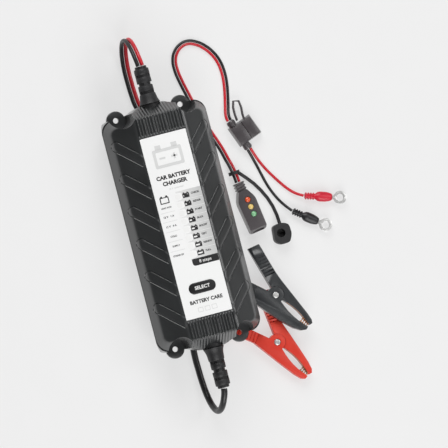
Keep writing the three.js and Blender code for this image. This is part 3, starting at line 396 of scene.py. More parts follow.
def build(name, bm, material, slot, replaced=(), body="charger", at=None, smooth=32):
    """The finished piece: normals outwards, shaded, in metres and in its place."""
    bmesh.ops.remove_doubles(bm, verts=bm.verts, dist=0.0005)
    bm.transform(at or Matrix.Identity(4))
    bmesh.ops.recalc_face_normals(bm, faces=bm.faces)
    bm.transform(TO_FRAME)
    piece = linked(name, mesh_of(name, bm))
    shade(piece.data, smooth)
    return dress(piece, material, body, slot, replaced)


def placed(x, y, z, degrees=0.0):
    return Matrix.Translation((x, y, z)) @ Matrix.Rotation(math.radians(degrees), 4, "Z")


def bevel(bm, edges, width, segments=2):
    bmesh.ops.bevel(bm, geom=edges, offset=width, offset_type="OFFSET", affect="EDGES",
                    segments=segments, profile=0.5, material=-1, clamp_overlap=True)


def sharp_edges(bm, degrees=30):
    limit = math.radians(degrees)
    return [e for e in bm.edges if len(e.link_faces) == 2 and e.calc_face_angle(0.0) > limit]


def prism(bm, points, low, high):
    """A closed solid that stands on a flat outline."""
    corners = [bm.verts.new((x, y, low)) for x, y in points]
    face = bm.faces.new(corners)
    lifted = bmesh.ops.extrude_face_region(bm, geom=[face])
    moved = [g for g in lifted["geom"] if isinstance(g, bmesh.types.BMVert)]
    bmesh.ops.translate(bm, verts=moved, vec=(0, 0, high - low))
    return moved


def block(bm, low, high):
    size = [b - a for a, b in zip(low, high)]
    middle = [(a + b) / 2 for a, b in zip(low, high)]
    matrix = Matrix.Translation(middle) @ Matrix.Diagonal((*size, 1))
    return bmesh.ops.create_cube(bm, size=1, matrix=matrix)["verts"]


def drum(bm, radius, low, high, matrix=None, sides=40, tip=None):
    move = (matrix or Matrix.Identity(4)) @ Matrix.Translation((0, 0, (low + high) / 2))
    return bmesh.ops.create_cone(bm, cap_ends=True, cap_tris=False, segments=sides, radius1=radius,
                                 radius2=radius if tip is None else tip, depth=high - low,
                                 matrix=move)["verts"]


def turned(bm, profile, matrix=None, steps=48):
    """A turned shape from [radius, distance] pairs along the turning axis, which is X."""
    points = [bm.verts.new((distance, radius, 0)) for radius, distance in profile]
    edges = [bm.edges.new(pair) for pair in zip(points, points[1:])]
    bmesh.ops.spin(bm, geom=[*points, *edges], cent=(0, 0, 0), axis=(1, 0, 0), dvec=(0, 0, 0),
                   angle=math.tau, steps=steps, use_merge=True, use_normal_flip=False,
                   use_duplicate=False)
    bmesh.ops.remove_doubles(bm, verts=bm.verts, dist=0.0005)
    if matrix:
        bm.transform(matrix)


def rounded(points, radius, steps=5):
    """A flat outline with its corners rounded; a third number is that corner's own radius."""
    made = []
    for index, corner in enumerate(points):
        here = Vector(corner[:2])
        before = Vector(points[index - 1][:2]) - here
        after = Vector(points[(index + 1) % len(points)][:2]) - here
        size = corner[2] if len(corner) > 2 else radius
        start = here + before.normalized() * size
        end = here + after.normalized() * size
        for step in range(steps + 1):
            t = step / steps
            made.append(start * (1 - t) ** 2 + here * 2 * t * (1 - t) + end * t * t)
    return [(p.x, p.y) for p in made]


def pill(length, width, x=0.0, y=0.0, steps=14):
    radius = width / 2
    reach = length / 2 - radius
    angles = [math.pi * (step / steps - 0.5) for step in range(steps + 1)]
    right_end = [(x + reach + radius * math.cos(a), y + radius * math.sin(a)) for a in angles]
    left_end = [(x - reach - radius * math.cos(a), y - radius * math.sin(a)) for a in angles]
    return right_end + left_end


def softened(node, name, material, slot, width, body="charger", sharp=30, segments=2):
    """A CAD node's shape with its edges rounded."""
    bm = bmesh.new()
    bm.from_mesh(nodes[node].data)
    bmesh.ops.remove_doubles(bm, verts=bm.verts, dist=1e-6)
    bmesh.ops.dissolve_limit(bm, angle_limit=math.radians(1.0), verts=bm.verts, edges=bm.edges)
    bevel(bm, sharp_edges(bm, sharp), width * MM, segments)
    bmesh.ops.remove_doubles(bm, verts=bm.verts, dist=1e-6)
    piece = linked(name, mesh_of(name, bm))
    shade(piece.data, 40)
    return dress(piece, material, body, slot, [node])


# ---- leads ---------------------------------------------------------------------------------

MAINS = 5.9
LEAD = 3.7
HARNESS = 2.6
PAIR_GAP = 0.3
LEADS = []  # each lead's facts, declared once the pieces on it are there


def lead(name, points, diameter, material, slot, replaced, far_end, with_pieces=(), stiffness="medium",
         lay="loose"):
    """One free lead on a smooth curve through its points, with its own measured length."""
    curve = bpy.data.curves.new(name, "CURVE")
    curve.dimensions = "3D"
    curve.resolution_u = 8
    curve.bevel_depth = diameter / 2 * MM
    curve.bevel_resolution = 5
    curve.use_fill_caps = True
    spline = curve.splines.new("BEZIER")
    spline.bezier_points.add(len(points) - 1)
    for point, place in zip(spline.bezier_points, points):
        point.co = spot(*place)
        point.handle_left_type = "AUTO"
        point.handle_right_type = "AUTO"
    piece = dress(linked(name, curve), material, "charger", slot, replaced)
    LEADS.append(dict(obj=piece, exit=spot(*points[0]), length=round(spline.calc_length(), 3),
                      diameter=diameter * MM, far_end=far_end, stiffness=stiffness, lay=lay,
                      with_pieces=with_pieces))


def wire_pair(name, node, routes, diameter, far_end, pieces=((), ())):
    """A red and a black wire, with their routes and the pieces on them in that order."""
    for colour, finish, route, on_wire in zip(("red", "black"), (RED_WIRE, BLACK_WIRE), routes, pieces):
        lead(f"{name}_{colour}", route, diameter, finish, f"wire_{colour}", [f"{node}_{colour}"],
             far_end, on_wire, "limp")


def besides(points, offset):
    """The middle line of a pair moved across itself, level with the table."""
    made = []
    for index, (x, y, z) in enumerate(points):
        before = points[max(index - 1, 0)]
        after = points[min(index + 1, len(points) - 1)]
        length = math.hypot(after[0] - before[0], after[1] - before[1])
        across = ((after[1] - before[1]) / length, -(after[0] - before[0]) / length)
        made.append((x + across[0] * offset, y + across[1] * offset, z))
    return made


def sideways(points, offset):
    return [(x + offset, y, z) for x, y, z in points]


HANK_X, HANK_Y = -10.0, 6.0
HANK_RUN = 118.0  # the straight stretch between the two round ends
HANK_RADIUS = 24.0 - MAINS / 2
HANK_TURNS = 3


def hank_route():
    """Two full turns of the folded lead and half of a third, each a diameter above the last."""
    near, far = HANK_Y - HANK_RUN / 2, HANK_Y + HANK_RUN / 2
    left, right_side = HANK_X - HANK_RADIUS, HANK_X + HANK_RADIUS
    straight = [HANK_RUN * share for share in (0, 0.25, 0.5, 0.75, 1)]
    bend = [math.pi * step / 8 for step in range(1, 8)]
    points = []
    for turn_index in range(HANK_TURNS):
        z = MAINS * (turn_index + 0.5)
        points += [(right_side, near + run, z) for run in straight]
        points += [(HANK_X + HANK_RADIUS * math.cos(a), far + HANK_RADIUS * math.sin(a), z) for a in bend]
        if turn_index == HANK_TURNS - 1:
            points.append((left, far, z))
            break
        points += [(left, far - run, z) for run in straight]
        for step, angle in enumerate(bend, 1):
            climb = MAINS * max(0.0, (step - 2.5) / 5.5)
            points.append((HANK_X - HANK_RADIUS * math.cos(angle), near - HANK_RADIUS * math.sin(angle),
                           z + climb))
    return points


MAINS_ROUTE = [
    (0, -150.9, 43), (-0.6, -154.4, 42.8), (-2.2, -160, 40.8), (-4, -165.4, 36), (-5.6, -168.6, 29.5),
    (-7, -169.2, 22.5), (-8.2, -166.4, 15.8), (-9.2, -160.6, 9.6), (-10, -152.6, 5.4), (-10.7, -142, 3.4),
    (-11.2, -128, 3), (-11.3, -118, 3), (-10.6, -109, 3), (-7.4, -99.6, 3), (-1.6, -91.2, 3),
    (4.6, -83.6, 3), (9.2, -76.4, 3), (10.9, -70.6, 3),
]
TAIL_ROUTE = [
    (-30.4, 56, 14.7), (-28, 51.6, 14.5), (-24.6, 47.5, 13.9), (-21.6, 42, 12.8), (-18, 36, 11.2),
    (-14.6, 29.6, 9.4), (-11.8, 22.6, 7.8), (-10.3, 16, 7), (-10, 10.8, 6.85),
]
lead("mains_lead", [*MAINS_ROUTE, *hank_route(), *TAIL_ROUTE], MAINS, BLACK_WIRE, "cord_black",
     ["mains_cord", "mains_hank", "mains_tail"], "plug",
     ["mains_plug_body", "plug_pin_1_turned", "plug_pin_2_turned"], lay="coiled")

DC_TURN = [
    (0, 147.9, 43), (-0.3, 151.5, 42.9), (-0.8, 156.5, 41.9), (-1.3, 162.8, 39), (-1.8, 168.8, 34),
    (-2.4, 172.8, 27.6), (-3.1, 173.9, 20.4), (-3.9, 171.6, 13.4), (-4.7, 166, 7.6), (-5.4, 158, 3.7),
    (-5.9, 148, 2), (-5.9, 137, 1.9),
]
DC_UNDER = [
    (-5.4, 125, 1.9), (-4.2, 114.6, 1.9), (-0.4, 104.6, 1.9), (6.2, 96.2, 1.9), (13.6, 89, 2.2),
    (19, 82.8, 3.6), (21.5, 77.6, 5.2), (21.5, 74.4, 5.5),
]
CLAMP_RED_ROUTE = [
    (19.6, 19.2, 5.5), (19.5, 13, 4.5), (19.4, 4, 2.4), (19.4, -8, 1.9), (19.4, -22, 1.9),
    (19.4, -36, 1.9), (19.2, -50, 1.9), (18.6, -62, 1.9), (17.4, -72, 1.9), (16.6, -80, 2.1),
    (16.8, -86.4, 2.8), (18.2, -91.2, 3.6), (20.6, -94.4, 4.3),
]
CLAMP_BLACK_ROUTE = [
    (23.4, 19.2, 5.5), (23.6, 13, 4.9), (23.9, 4, 3), (24, -8, 2.2), (23.8, -19, 3.2), (23.4, -29, 6),
    (23.4, -38.6, 9.6), (25, -46.8, 12.2), (29.2, -53.4, 13.35),
]
LEAD_OFFSET = (LEAD + PAIR_GAP) / 2
DC_ROUTES = [[*sideways(DC_TURN, offset), *besides(DC_UNDER, -offset)]
             for offset in (LEAD_OFFSET, -LEAD_OFFSET)]
wire_pair("dc_lead", "dc_wire", DC_ROUTES, LEAD, "connector", [["quick_plug_body"]] * 2)
wire_pair("clamp_lead", "clamp_wire", [CLAMP_RED_ROUTE, CLAMP_BLACK_ROUTE], LEAD, "object",
          [["quick_socket_body"], []])

HARNESS_ROUTE = [
    (66.3, 25, 6.4), (65.9, 29.6, 6.2), (65.3, 34.6, 5.4), (64.4, 41, 3.4), (62.8, 48, 1.6),
    (60.8, 56, 1.4), (57.8, 65, 1.4), (53.8, 76, 1.4), (49.6, 88.6, 1.4), (45.8, 101.4, 1.4),
    (42.6, 114.4, 1.4), (40, 126, 1.4), (38.4, 137, 1.4), (39, 146, 1.4), (42.4, 152.8, 1.4),
    (48, 157.2, 1.4), (55, 158.6, 1.4), (62, 156.2, 1.4), (68.6, 151.2, 1.4), (74, 144.4, 1.4),
    (77.9, 136, 1.4), (79.6, 126, 1.4), (79.2, 115, 1.4), (77.3, 104, 1.4), (75, 94.4, 2),
    (73.1, 87.4, 3.6), (72.8, 83.6, 4.5), (73.4, 80.7, 4.7),
]
BRANCH_RED_ROUTE = [
    (85.8, 52.1, 4.7), (87, 48.6, 3.9), (89, 43.6, 2.3), (91.8, 37.2, 1.4), (95.4, 30, 1.4),
    (100, 22.4, 1.4), (105.2, 14.6, 1.4), (110.6, 7.6, 1.6), (116, 2.3, 3), (122.1, -1.5, 4.6),
]
BRANCH_BLACK_ROUTE = [
    (83.1, 51, 4.7), (84.4, 47, 3.7), (86.2, 41.6, 2), (88.2, 34.4, 1.4), (90.2, 26, 1.4),
    (92.4, 17.4, 1.4), (95.6, 8.6, 1.4), (99.8, 0.2, 1.4), (103.8, -6, 2.4), (108.2, -11.9, 4.6),
]
HARNESS_OFFSET = (HARNESS + PAIR_GAP) / 2
HARNESS_PIECES = ["indicator_connector_body", "red_lens_dome", "yellow_lens_dome", "green_lens_dome",
                  "fuse_holder_moulding", "fuse_cap_moulding", "blade_fuse"]
wire_pair("harness", "harness_wire", [besides(HARNESS_ROUTE, side * HARNESS_OFFSET) for side in (1, -1)],
          HARNESS, "object", [HARNESS_PIECES, []])
wire_pair("branch", "branch_wire", [BRANCH_RED_ROUTE, BRANCH_BLACK_ROUTE], HARNESS, "fitting",
          [[f"{colour}_ring_sleeve", f"{colour}_ring_plate"] for colour in ("red", "black")])

# ---- solids cut from solids ----------------------------------------------------------------

def loose(name, bm):
    """A scratch object in millimetres, used as a cutter or as a body to be cut."""
    bmesh.ops.remove_doubles(bm, verts=bm.verts, dist=0.0005)
    bmesh.ops.recalc_face_normals(bm, faces=bm.faces)
    return linked(name, mesh_of(name, bm))


def discard(piece):
    mesh = piece.data
    bpy.data.objects.remove(piece)
    bpy.data.meshes.remove(mesh)


def carve(piece, cutter, operation="DIFFERENCE"):
    """Takes the cutter out of the piece, adds it or keeps only what both share."""
    change = piece.modifiers.new("carve", "BOOLEAN")
    change.solver = "MANIFOLD"
    change.operation = operation
    change.object = cutter
    before = piece.data
    after = finished_mesh(piece)
    piece.modifiers.remove(change)
    piece.data = after
    bpy.data.meshes.remove(before)
    discard(cutter)
    return piece


def carved(name, fill, piece, operation="DIFFERENCE"):
    bm = bmesh.new()
    fill(bm)
    return carve(piece, loose(name, bm), operation)


def settle(scratch, name, material, slot, replaced=(), body="charger", at=None, smooth=32):
    """The scratch object's mesh as a finished piece."""
    bm = bmesh.new()
    bm.from_mesh(scratch.data)
    discard(scratch)
    return build(name, bm, material, slot, replaced, body, at, smooth)


def trimmed(bm, point, normal):
    """Cuts away what lies beyond a plane and closes the cut."""
    parts = [*bm.verts, *bm.edges, *bm.faces]
    cut = bmesh.ops.bisect_plane(bm, geom=parts, plane_co=point, plane_no=normal, clear_outer=True)
    rim = [g for g in cut["geom_cut"] if isinstance(g, bmesh.types.BMEdge)]
    if rim:
        bmesh.ops.contextual_create(bm, geom=rim)


# ---- case ----------------------------------------------------------------------------------

# The case in millimetres from the middle of its back.
HALF_WIDTH = 49.0
HALF_LENGTH = 113.0
END_SET_BACK = 6.0  # how far the corner blocks stop short of the two noses
TOP = 48.0
SEAM = 23.0
FLAT = 23.5  # half the width of the level middle
CREST_END = 102.2
EAR_X, EAR_Y = 30.3, 106.0
EAR_RADIUS = 8.5
EAR_HEIGHT = 4.0
SCREW_X, SCREW_Y = 34.0, 82.0
SCALLOP = 9.6
WALL = 2.6
CEILING = TOP - WALL - 0.4
CORNER = 14.0
GLAND_LEVEL = 25.0
CORNERS = ((1, 1), (-1, 1), (1, -1), (-1, -1))
LABEL_X, LABEL_Y = 21.5, 83.5
RECESS = 0.9
FIT = 0.3
KEY_Y = -57.6
WINDOWS = [25.6 - 7.56 * index for index in range(8)]
RIB_PITCH = 2.75
RIB_DEPTH = 0.85
RIB_ZONE = 7.5 * RIB_PITCH
RIBS_FROM = LABEL_Y + 1.6
FINGERS = [(index - 2.5) * 29.8 for index in range(6)]
FINGER_MIDDLE = 33.25
FINGER_TURN = math.radians(39)
FINGER_COS, FINGER_SIN = math.cos(FINGER_TURN), math.sin(FINGER_TURN)
PANEL_TILT = 0.812  # cosine of the side panel's slope
FINGER_HALF = 4.5
FINGER_TIP = 13.0
FINGER_LIFT = 0.55
GROOVE_RADIUS = 0.75
CASE = Matrix.Translation((0, 0, BACK))


def blend_low(first, second, reach):
    """The lower of two heights with the crease between them rounded."""
    overlap = max(reach - abs(first - second), 0.0) / reach
    return min(first, second) - overlap * overlap * reach / 4


def inside_corner(x, y):
    """How far a point lies inside the rounded edge of the case."""
    centre_x, centre_y = HALF_WIDTH - CORNER, HALF_LENGTH - END_SET_BACK - CORNER
    if x > centre_x and y > centre_y:
        return CORNER - math.hypot(x - centre_x, y - centre_y)
    return HALF_WIDTH - x


def finger_axes(x, y, middle):
    """A point's places along a finger and beside it."""
    across = (x - FINGER_MIDDLE) / PANEL_TILT
    up = y - middle
    return across * FINGER_COS + up * FINGER_SIN, up * FINGER_COS - across * FINGER_SIN


def finger_lift(x, y):
    """How far the side panel's raised fingers stand up at a point."""
    lift = 0.0
    for middle in FINGERS:
        along, beside = finger_axes(x, y, middle)
        if -22 < along < FINGER_TIP + FINGER_HALF and abs(beside) < FINGER_HALF:
            reach = math.hypot(max(along - FINGER_TIP, 0.0), beside)
            rise = min(1.0, max(0.0, (FINGER_HALF - reach) / 1.8))
            fade = min(1.0, max(0.0, (along + 20) / 4))
            lift = max(lift, FINGER_LIFT * rise * rise * (3 - 2 * rise) * fade)
    return lift


def front_height(x, y):
    """The front cover's outer surface: level middle, side panels, flanks, end slopes and noses."""
    x_side, y_side = abs(x), abs(y)
    panel = TOP - (x_side - FLAT) * 0.718
    flank = SEAM + 1.833 * inside_corner(x_side, y_side)
    slope = TOP - (y_side - CREST_END) * 1.94
    nose = 28.0 - (y_side - 112.5) * 10.0
    height = blend_low(TOP, panel, 1.6)
    height = blend_low(height, flank, 1.4)
    height = blend_low(height, slope, 1.8)
    height = blend_low(height, nose, 3.0)
    height += finger_lift(x_side, y)
    if x_side < RIB_ZONE and y_side > RIBS_FROM:
        start = min(1.0, (y_side - RIBS_FROM) / 0.9)
        wave = 0.5 + 0.5 * math.cos(math.tau * (x_side / RIB_PITCH + 0.5))
        height -= RIB_DEPTH * start * wave ** 1.5
    return height


def plan_outline(steps=14):
    """The case from above: broad corners and a shallow nose at each end."""
    end = HALF_LENGTH
    quarter = [(HALF_WIDTH, end - END_SET_BACK, CORNER), (EAR_X - SCALLOP, end - 5, 3), (10, end, 3)]
    mirrored = [(-x, y, r) for x, y, r in reversed(quarter)]
    upper = quarter + mirrored
    lower = [(-x, -y, r) for x, y, r in upper]
    return rounded(upper + lower, 3, steps)


def hairpin(side, middle):
    """A finger's groove: up one side, round its end over the shoulder and back down the other."""
    flat = [(-9 + 22 * step / 16, FINGER_HALF) for step in range(16)]
    for step in range(17):
        angle = math.pi / 2 - math.pi * step / 16
        flat.append((FINGER_TIP + FINGER_HALF * math.cos(angle), FINGER_HALF * math.sin(angle)))
    flat += [(FINGER_TIP - 31 * step / 22, -FINGER_HALF) for step in range(1, 23)]
    route = []
    for along, beside in flat:
        x = FINGER_MIDDLE + (along * FINGER_COS - beside * FINGER_SIN) * PANEL_TILT
        y = middle + along * FINGER_SIN + beside * FINGER_COS
        route.append((side * x, y, front_height(x, y) + 0.1))
    return route


def groove_cutter(routes, radius):
    curve = bpy.data.curves.new("groove", "CURVE")
    curve.dimensions = "3D"
    curve.bevel_depth = radius
    curve.bevel_resolution = 2
    curve.use_fill_caps = True
    for route in routes:
        spline = curve.splines.new("POLY")
        spline.points.add(len(route) - 1)
        for point, place in zip(spline.points, route):
            point.co = (*place, 1)
    holder = linked("groove", curve)
    mesh = finished_mesh(holder)
    bpy.data.objects.remove(holder)
    bm = bmesh.new()
    bm.from_mesh(mesh)
    bpy.data.meshes.remove(mesh)
    return loose("grooves", bm)


def at_corners(bm, x, y, radius, low, high, sides):
    """One drum in each of the four corners."""
    for side, end in CORNERS:
        drum(bm, radius, low, high, Matrix.Translation((side * x, end * y, 0)), sides)


def scallops(bm, radius, low):
    at_corners(bm, EAR_X, EAR_Y, radius, low, TOP + 6, 64)


def corner_walls(bm):
    """What stays solid at each corner of the case: round the scallop and outside it."""
    for side, end in CORNERS:
        low_x, high_x = sorted((side * (EAR_X + 2), side * (HALF_WIDTH + 2)))
        low_y, high_y = sorted((end * (EAR_Y - SCALLOP - WALL - 2), end * (HALF_LENGTH + 2)))
        block(bm, (low_x, low_y, -1), (high_x, high_y, TOP + 6))


def cavity(bm, low, high):
    """The room that follows the case's outer slopes at one wall's distance."""
    block(bm, (-HALF_WIDTH, -105, low), (HALF_WIDTH, 105, high))
    for side in (-1, 1):
        trimmed(bm, (side * (HALF_WIDTH - WALL), 0, SEAM), (side * 0.878, 0, 0.479))
        trimmed(bm, (side * (HALF_WIDTH - WALL), 0, SEAM), (side * 0.968, 0, -0.25))
        trimmed(bm, (side * (FLAT - 1), 0, CEILING), (side * 0.583, 0, 0.812))
        trimmed(bm, (0, side * (CREST_END - 1.8), CEILING), (0, side * 0.889, 0.458))


def inner_room(low, high):
    bm = bmesh.new()
    cavity(bm, low, high)
    room = carved("walls", lambda b: scallops(b, SCALLOP + WALL, -1), loose("cavity", bm))
    return carved("corners", corner_walls, room)


def gland_passages(bm):
    for side in (-1, 1):
        lying = Matrix.Translation((0, side * 110, GLAND_LEVEL)) @ Matrix.Rotation(math.pi / 2, 4, "X")
        drum(bm, 8.6, -8, 8, lying, 48)


def key_outline(grow=0.0):
    return pill(24.6 + 2 * grow, 9.4 + 2 * grow, 0, KEY_Y)


def front_surface(bm):
    """A fine net over the case's outer surface, closer across the ribs, closed by a deep hem."""
    middle_share = 0.66  # of the columns lie across the ribs
    bmesh.ops.create_grid(bm, x_segments=188, y_segments=270, size=1)
    for vert in bm.verts:
        share = abs(vert.co.x)
        if share < middle_share:
            x = share / middle_share * RIB_ZONE
        else:
            outer = (share - middle_share) / (1 - middle_share)
            x = RIB_ZONE + outer * (HALF_WIDTH + 0.4 - RIB_ZONE)
        x = math.copysign(x, vert.co.x)
        y = vert.co.y * (HALF_LENGTH + 0.3)
        vert.co = (x, y, max(front_height(x, y), SEAM - 6))
    rim = [edge for edge in bm.edges if edge.is_boundary]
    hem = bmesh.ops.extrude_edge_only(bm, edges=rim)["geom"]
    for vert in (g for g in hem if isinstance(g, bmesh.types.BMVert)):
        vert.co.z = SEAM - 13
    bmesh.ops.contextual_create(bm, geom=[edge for edge in bm.edges if edge.is_boundary])


def front_cover():
    bm = bmesh.new()
    front_surface(bm)
    cover = loose("front", bm)

    def label_recess(b):
        x, y = LABEL_X + FIT, LABEL_Y + FIT
        block(b, (-x, -y, TOP - RECESS), (x, y, TOP + 3))

    def holes(b):
        prism(b, key_outline(FIT), TOP - 6, TOP + 3)
        for y in WINDOWS:
            block(b, (-3.8, y - 1.3, TOP - 6), (1.8, y + 1.3, TOP + 3))

    carved("plan", lambda b: prism(b, plan_outline(), SEAM + 0.8, TOP + 4), cover, "INTERSECT")
    carved("scallops", lambda b: scallops(b, SCALLOP, EAR_HEIGHT), cover)
    carve(cover, inner_room(SEAM, CEILING))
    carved("recess", label_recess, cover)
    carved("holes", holes, cover)
    carved("passages", gland_passages, cover)
    routes = [hairpin(side, middle) for side in (-1, 1) for middle in FINGERS]
    carve(cover, groove_cutter(routes, GROOVE_RADIUS))
    return settle(cover, "front_cover_moulding", CASING, "casing", ["front_cover"], at=CASE, smooth=38)


def rear_cover():
    bm = bmesh.new()
    prism(bm, plan_outline(), 0, SEAM - 0.8)
    for side in (-1, 1):
        trimmed(bm, (side * 43, 0, 0), (side * 0.968, 0, -0.2525))
        trimmed(bm, (0, side * 111, 0), (0, side * 0.996, -0.0867))
    bmesh.ops.recalc_face_normals(bm, faces=bm.faces)
    bevel(bm, [e for e in sharp_edges(bm, 25) if max(v.co.z for v in e.verts) < 0.01], 1.4, 4)
    cover = loose("rear", bm)

    def ears(b):
        at_corners(b, EAR_X, EAR_Y, EAR_RADIUS, 0, EAR_HEIGHT, 56)
        bevel(b, sharp_edges(b, 60), 0.5, 3)

    def holes(b):
        at_corners(b, EAR_X, EAR_Y, 2.5, -1, 5, 40)
        at_corners(b, SCREW_X, SCREW_Y, 1.9, -1, 9, 28)

    carved("scallops", lambda b: scallops(b, SCALLOP, EAR_HEIGHT), cover)
    carve(cover, inner_room(WALL, SEAM + 1))
    carved("ears", ears, cover, "UNION")
    carved("posts", lambda b: at_corners(b, SCREW_X, SCREW_Y, 4.2, 1, 7.7, 32), cover, "UNION")
    carved("holes", holes, cover)
    carved("screw_seats", lambda b: at_corners(b, SCREW_X, SCREW_Y, 3.3, -1, 2.4, 32), cover)
    carved("passages", gland_passages, cover)
    return settle(cover, "rear_cover_moulding", CASING, "casing", ["rear_cover"], at=CASE, smooth=38)


def gland(name, tip, end, replaced):
    """A strain relief: a flared neck, then three stepped rings joined by short bridges."""
    bm = bmesh.new()
    pitch = 7.6
    rings_from = tip - 23
    profile = [(0, 94.2), (9, 94.2), (9, 96.7), (6.3, 96.7), (6.3, 104.3), (8.3, 104.3), (8.3, 112.6),
               (9.6, 113.2), (9.0, 114.4), (8.2, 116.4), (7.7, 119), (7.3, rings_from - 3.2),
               (6.9, rings_from - 2.4), (5.3, rings_from - 2)]
    for index in range(3):
        start = rings_from + index * pitch
        profile += [(5.3, start), (6.4, start), (6.8, start + 0.5), (6.7, start + 4.8),
                    (6.2, start + 5.4), (5.3, start + 5.4)]
    profile += [(5.3, tip - 0.6), (4.7, tip), (0, tip)]
    turned(bm, profile, steps=56)
    waists = [(rings_from - 2.2, rings_from + 0.2), (rings_from + 5.2, rings_from + 7.8),
              (rings_from + 12.8, rings_from + 15.4)]
    stem = loose("gland", bm)

    def bridges(b):
        for index, (low, high) in enumerate(waists):
            for side in (-1, 1):
                near, far = sorted((side * 4, side * 6.5))
                if index % 2:
                    block(b, (low, -1.6, near), (high, 1.6, far))
                else:
                    block(b, (low, near, -1.6), (high, far, 1.6))

    carved("bridges", bridges, stem, "UNION")
    at = CASE @ placed(0, 0, GLAND_LEVEL, end * 90)
    return settle(stem, name, RUBBER, "rubber", [replaced], at=at, smooth=40)


front_cover()
rear_cover()
gland("dc_strain_relief", 147.5, 1, "dc_gland")
gland("mains_strain_relief", 150.2, -1, "mains_gland")

# ---- label ---------------------------------------------------------------------------------

FILM = 0.5
LABEL_LEVEL = TOP - RECESS + FIT
INK = 0.05
COAT = 0.06  # from one printed layer to the next
PRINT_LEVEL = BACK + LABEL_LEVEL + FILM + 0.01


def fading_panel():
    """The status panel's tint: pale at its left side and greyer to the right."""
    material = finish_of("status_panel_tint", (0.80, 0.80, 0.80), (0.80, 0.80, 0.80), 0.34, 0.06)
    tree = material.node_tree
    place = tree.nodes.new("ShaderNodeTexCoord")
    parts = tree.nodes.new("ShaderNodeSeparateXYZ")
    tree.links.new(place.outputs["Object"], parts.inputs["Vector"])
    start, end = spot(-4, 0, 0).x, spot(LABEL_X, 0, 0).x
    share = spread_node(tree, parts.outputs["X"], start, end, 0.0, 1.0)
    tint = mix_node(tree, share, (0.84, 0.84, 0.835), (0.58, 0.585, 0.58))
    tree.links.new(tint, tree.nodes["Principled BSDF"].inputs["Base Color"])
    return material


def box_outline(x, y, width, height, radius=0.0, steps=6):
    corners = [(x - width / 2, y - height / 2), (x + width / 2, y - height / 2),
               (x + width / 2, y + height / 2), (x - width / 2, y + height / 2)]
    return rounded(corners, radius, steps) if radius else corners


def label_sheet():
    bm = bmesh.new()
    sheet = box_outline(0, 0, 2 * LABEL_X, 2 * LABEL_Y, 0.6, 5)
    prism(bm, sheet, LABEL_LEVEL, LABEL_LEVEL + FILM)
    film = loose("film", bm)
    carved("key_hole", lambda b: prism(b, key_outline(FIT), LABEL_LEVEL - 1, LABEL_LEVEL + 2), film)
    return settle(film, "label_film", LABEL, "label", ["label_panel"], at=CASE)


def printed(name, outlines, material, layer=0):
    """Flat printed shapes; a hole in one is another printed on top of it, a layer higher."""
    bm = bmesh.new()
    low = PRINT_LEVEL + layer * COAT
    for points in outlines:
        prism(bm, points, low, low + INK)
    return build(name, bm, material, "label")


def lettering(name, lines, material, lift=0.0, bold=0.0):
    """Words as one flat mesh: (text, x, y, size, align) with each line's left or middle at x, y."""
    bm = bmesh.new()
    for text, x, y, size, align in lines:
        curve = bpy.data.curves.new(name, "FONT")
        curve.body = text
        curve.size = size
        curve.align_x = align
        curve.align_y = "CENTER"
        curve.offset = bold * size
        curve.extrude = INK / 2
        curve.resolution_u = 3
        holder = linked(name, curve)
        mesh = finished_mesh(holder)
        mesh.transform(Matrix.Translation((x, y, PRINT_LEVEL + lift + INK / 2)))
        bm.from_mesh(mesh)
        bpy.data.objects.remove(holder)
        bpy.data.meshes.remove(mesh)
    return build(name, bm, material, "label")


def battery_shape(x, y, width, height):
    """A battery seen from the side: body and two terminals."""
    stub = width * 0.2
    return [box_outline(x, y, width, height, width * 0.06),
            box_outline(x - width * 0.28, y + height * 0.5 + stub * 0.32, stub, stub * 0.7),
            box_outline(x + width * 0.28, y + height * 0.5 + stub * 0.32, stub, stub * 0.7)]


ROWS_LEFT, ROWS_RIGHT = -5.0, LABEL_X - 0.1
ROWS_TOP, ROWS_BOTTOM = 30.4, -31.6
BAR_HEIGHT = 6.4
STATUS_WORDS = ("CHECK", "REPAIR", "START", "BULK", "BOOST", "TEST", "RENEW", "FULL")
COLUMN_WORDS = (("LEAD ACID", 18.6, 1.9), ("12 V   1 A", 10.4, 2.4), ("12 V   4 A", 1.6, 2.4),
                ("COLD", -7.6, 2.2), ("SUPPLY", -16.4, 2.1), ("STAND BY", -25.2, 2.1))


def status_rows():
    """Eight rows on a tinted panel: a light's window, a small battery filled further each row, a word."""
    left = ROWS_LEFT + 3
    panel = [(left, ROWS_BOTTOM), (ROWS_RIGHT, ROWS_BOTTOM), (ROWS_RIGHT, ROWS_TOP), (left, ROWS_TOP)]
    printed("status_panel", [panel], fading_panel())
    printed("light_bays", [box_outline(-0.8, y, 8.2, 6.7, 3.0) for y in WINDOWS], LABEL, 1)
    printed("light_windows", [box_outline(-1, y, 5.2, 4.6, 2.1) for y in WINDOWS], PRINT_WHITE, 2)
    printed("row_rules", [box_outline(10, y - 3.78, 22.6, 0.25) for y in WINDOWS[:-1]], PRINT_WHITE, 1)
    icons = [shape for y in WINDOWS for shape in battery_shape(6.6, y - 0.3, 6.2, 4.0)]
    printed("status_batteries", icons, PRINT_BLACK, 2)
    marks = []
    for index, y in enumerate(WINDOWS):
        fill = 0.6 + 0.5 * index
        marks.append(box_outline(6.6 - 2.4 + fill / 2, y - 0.4, fill, 1.3))
        marks.append(box_outline(8.2, y + 0.5, 1.0, 0.3))
    printed("status_battery_marks", marks, PRINT_WHITE, 3)
    words = [(word, 11.4, y + 0.4, 2.3, "LEFT") for word, y in zip(STATUS_WORDS, WINDOWS)]
    lettering("status_words", words, PRINT_BLACK, 2 * COAT, 0.03)


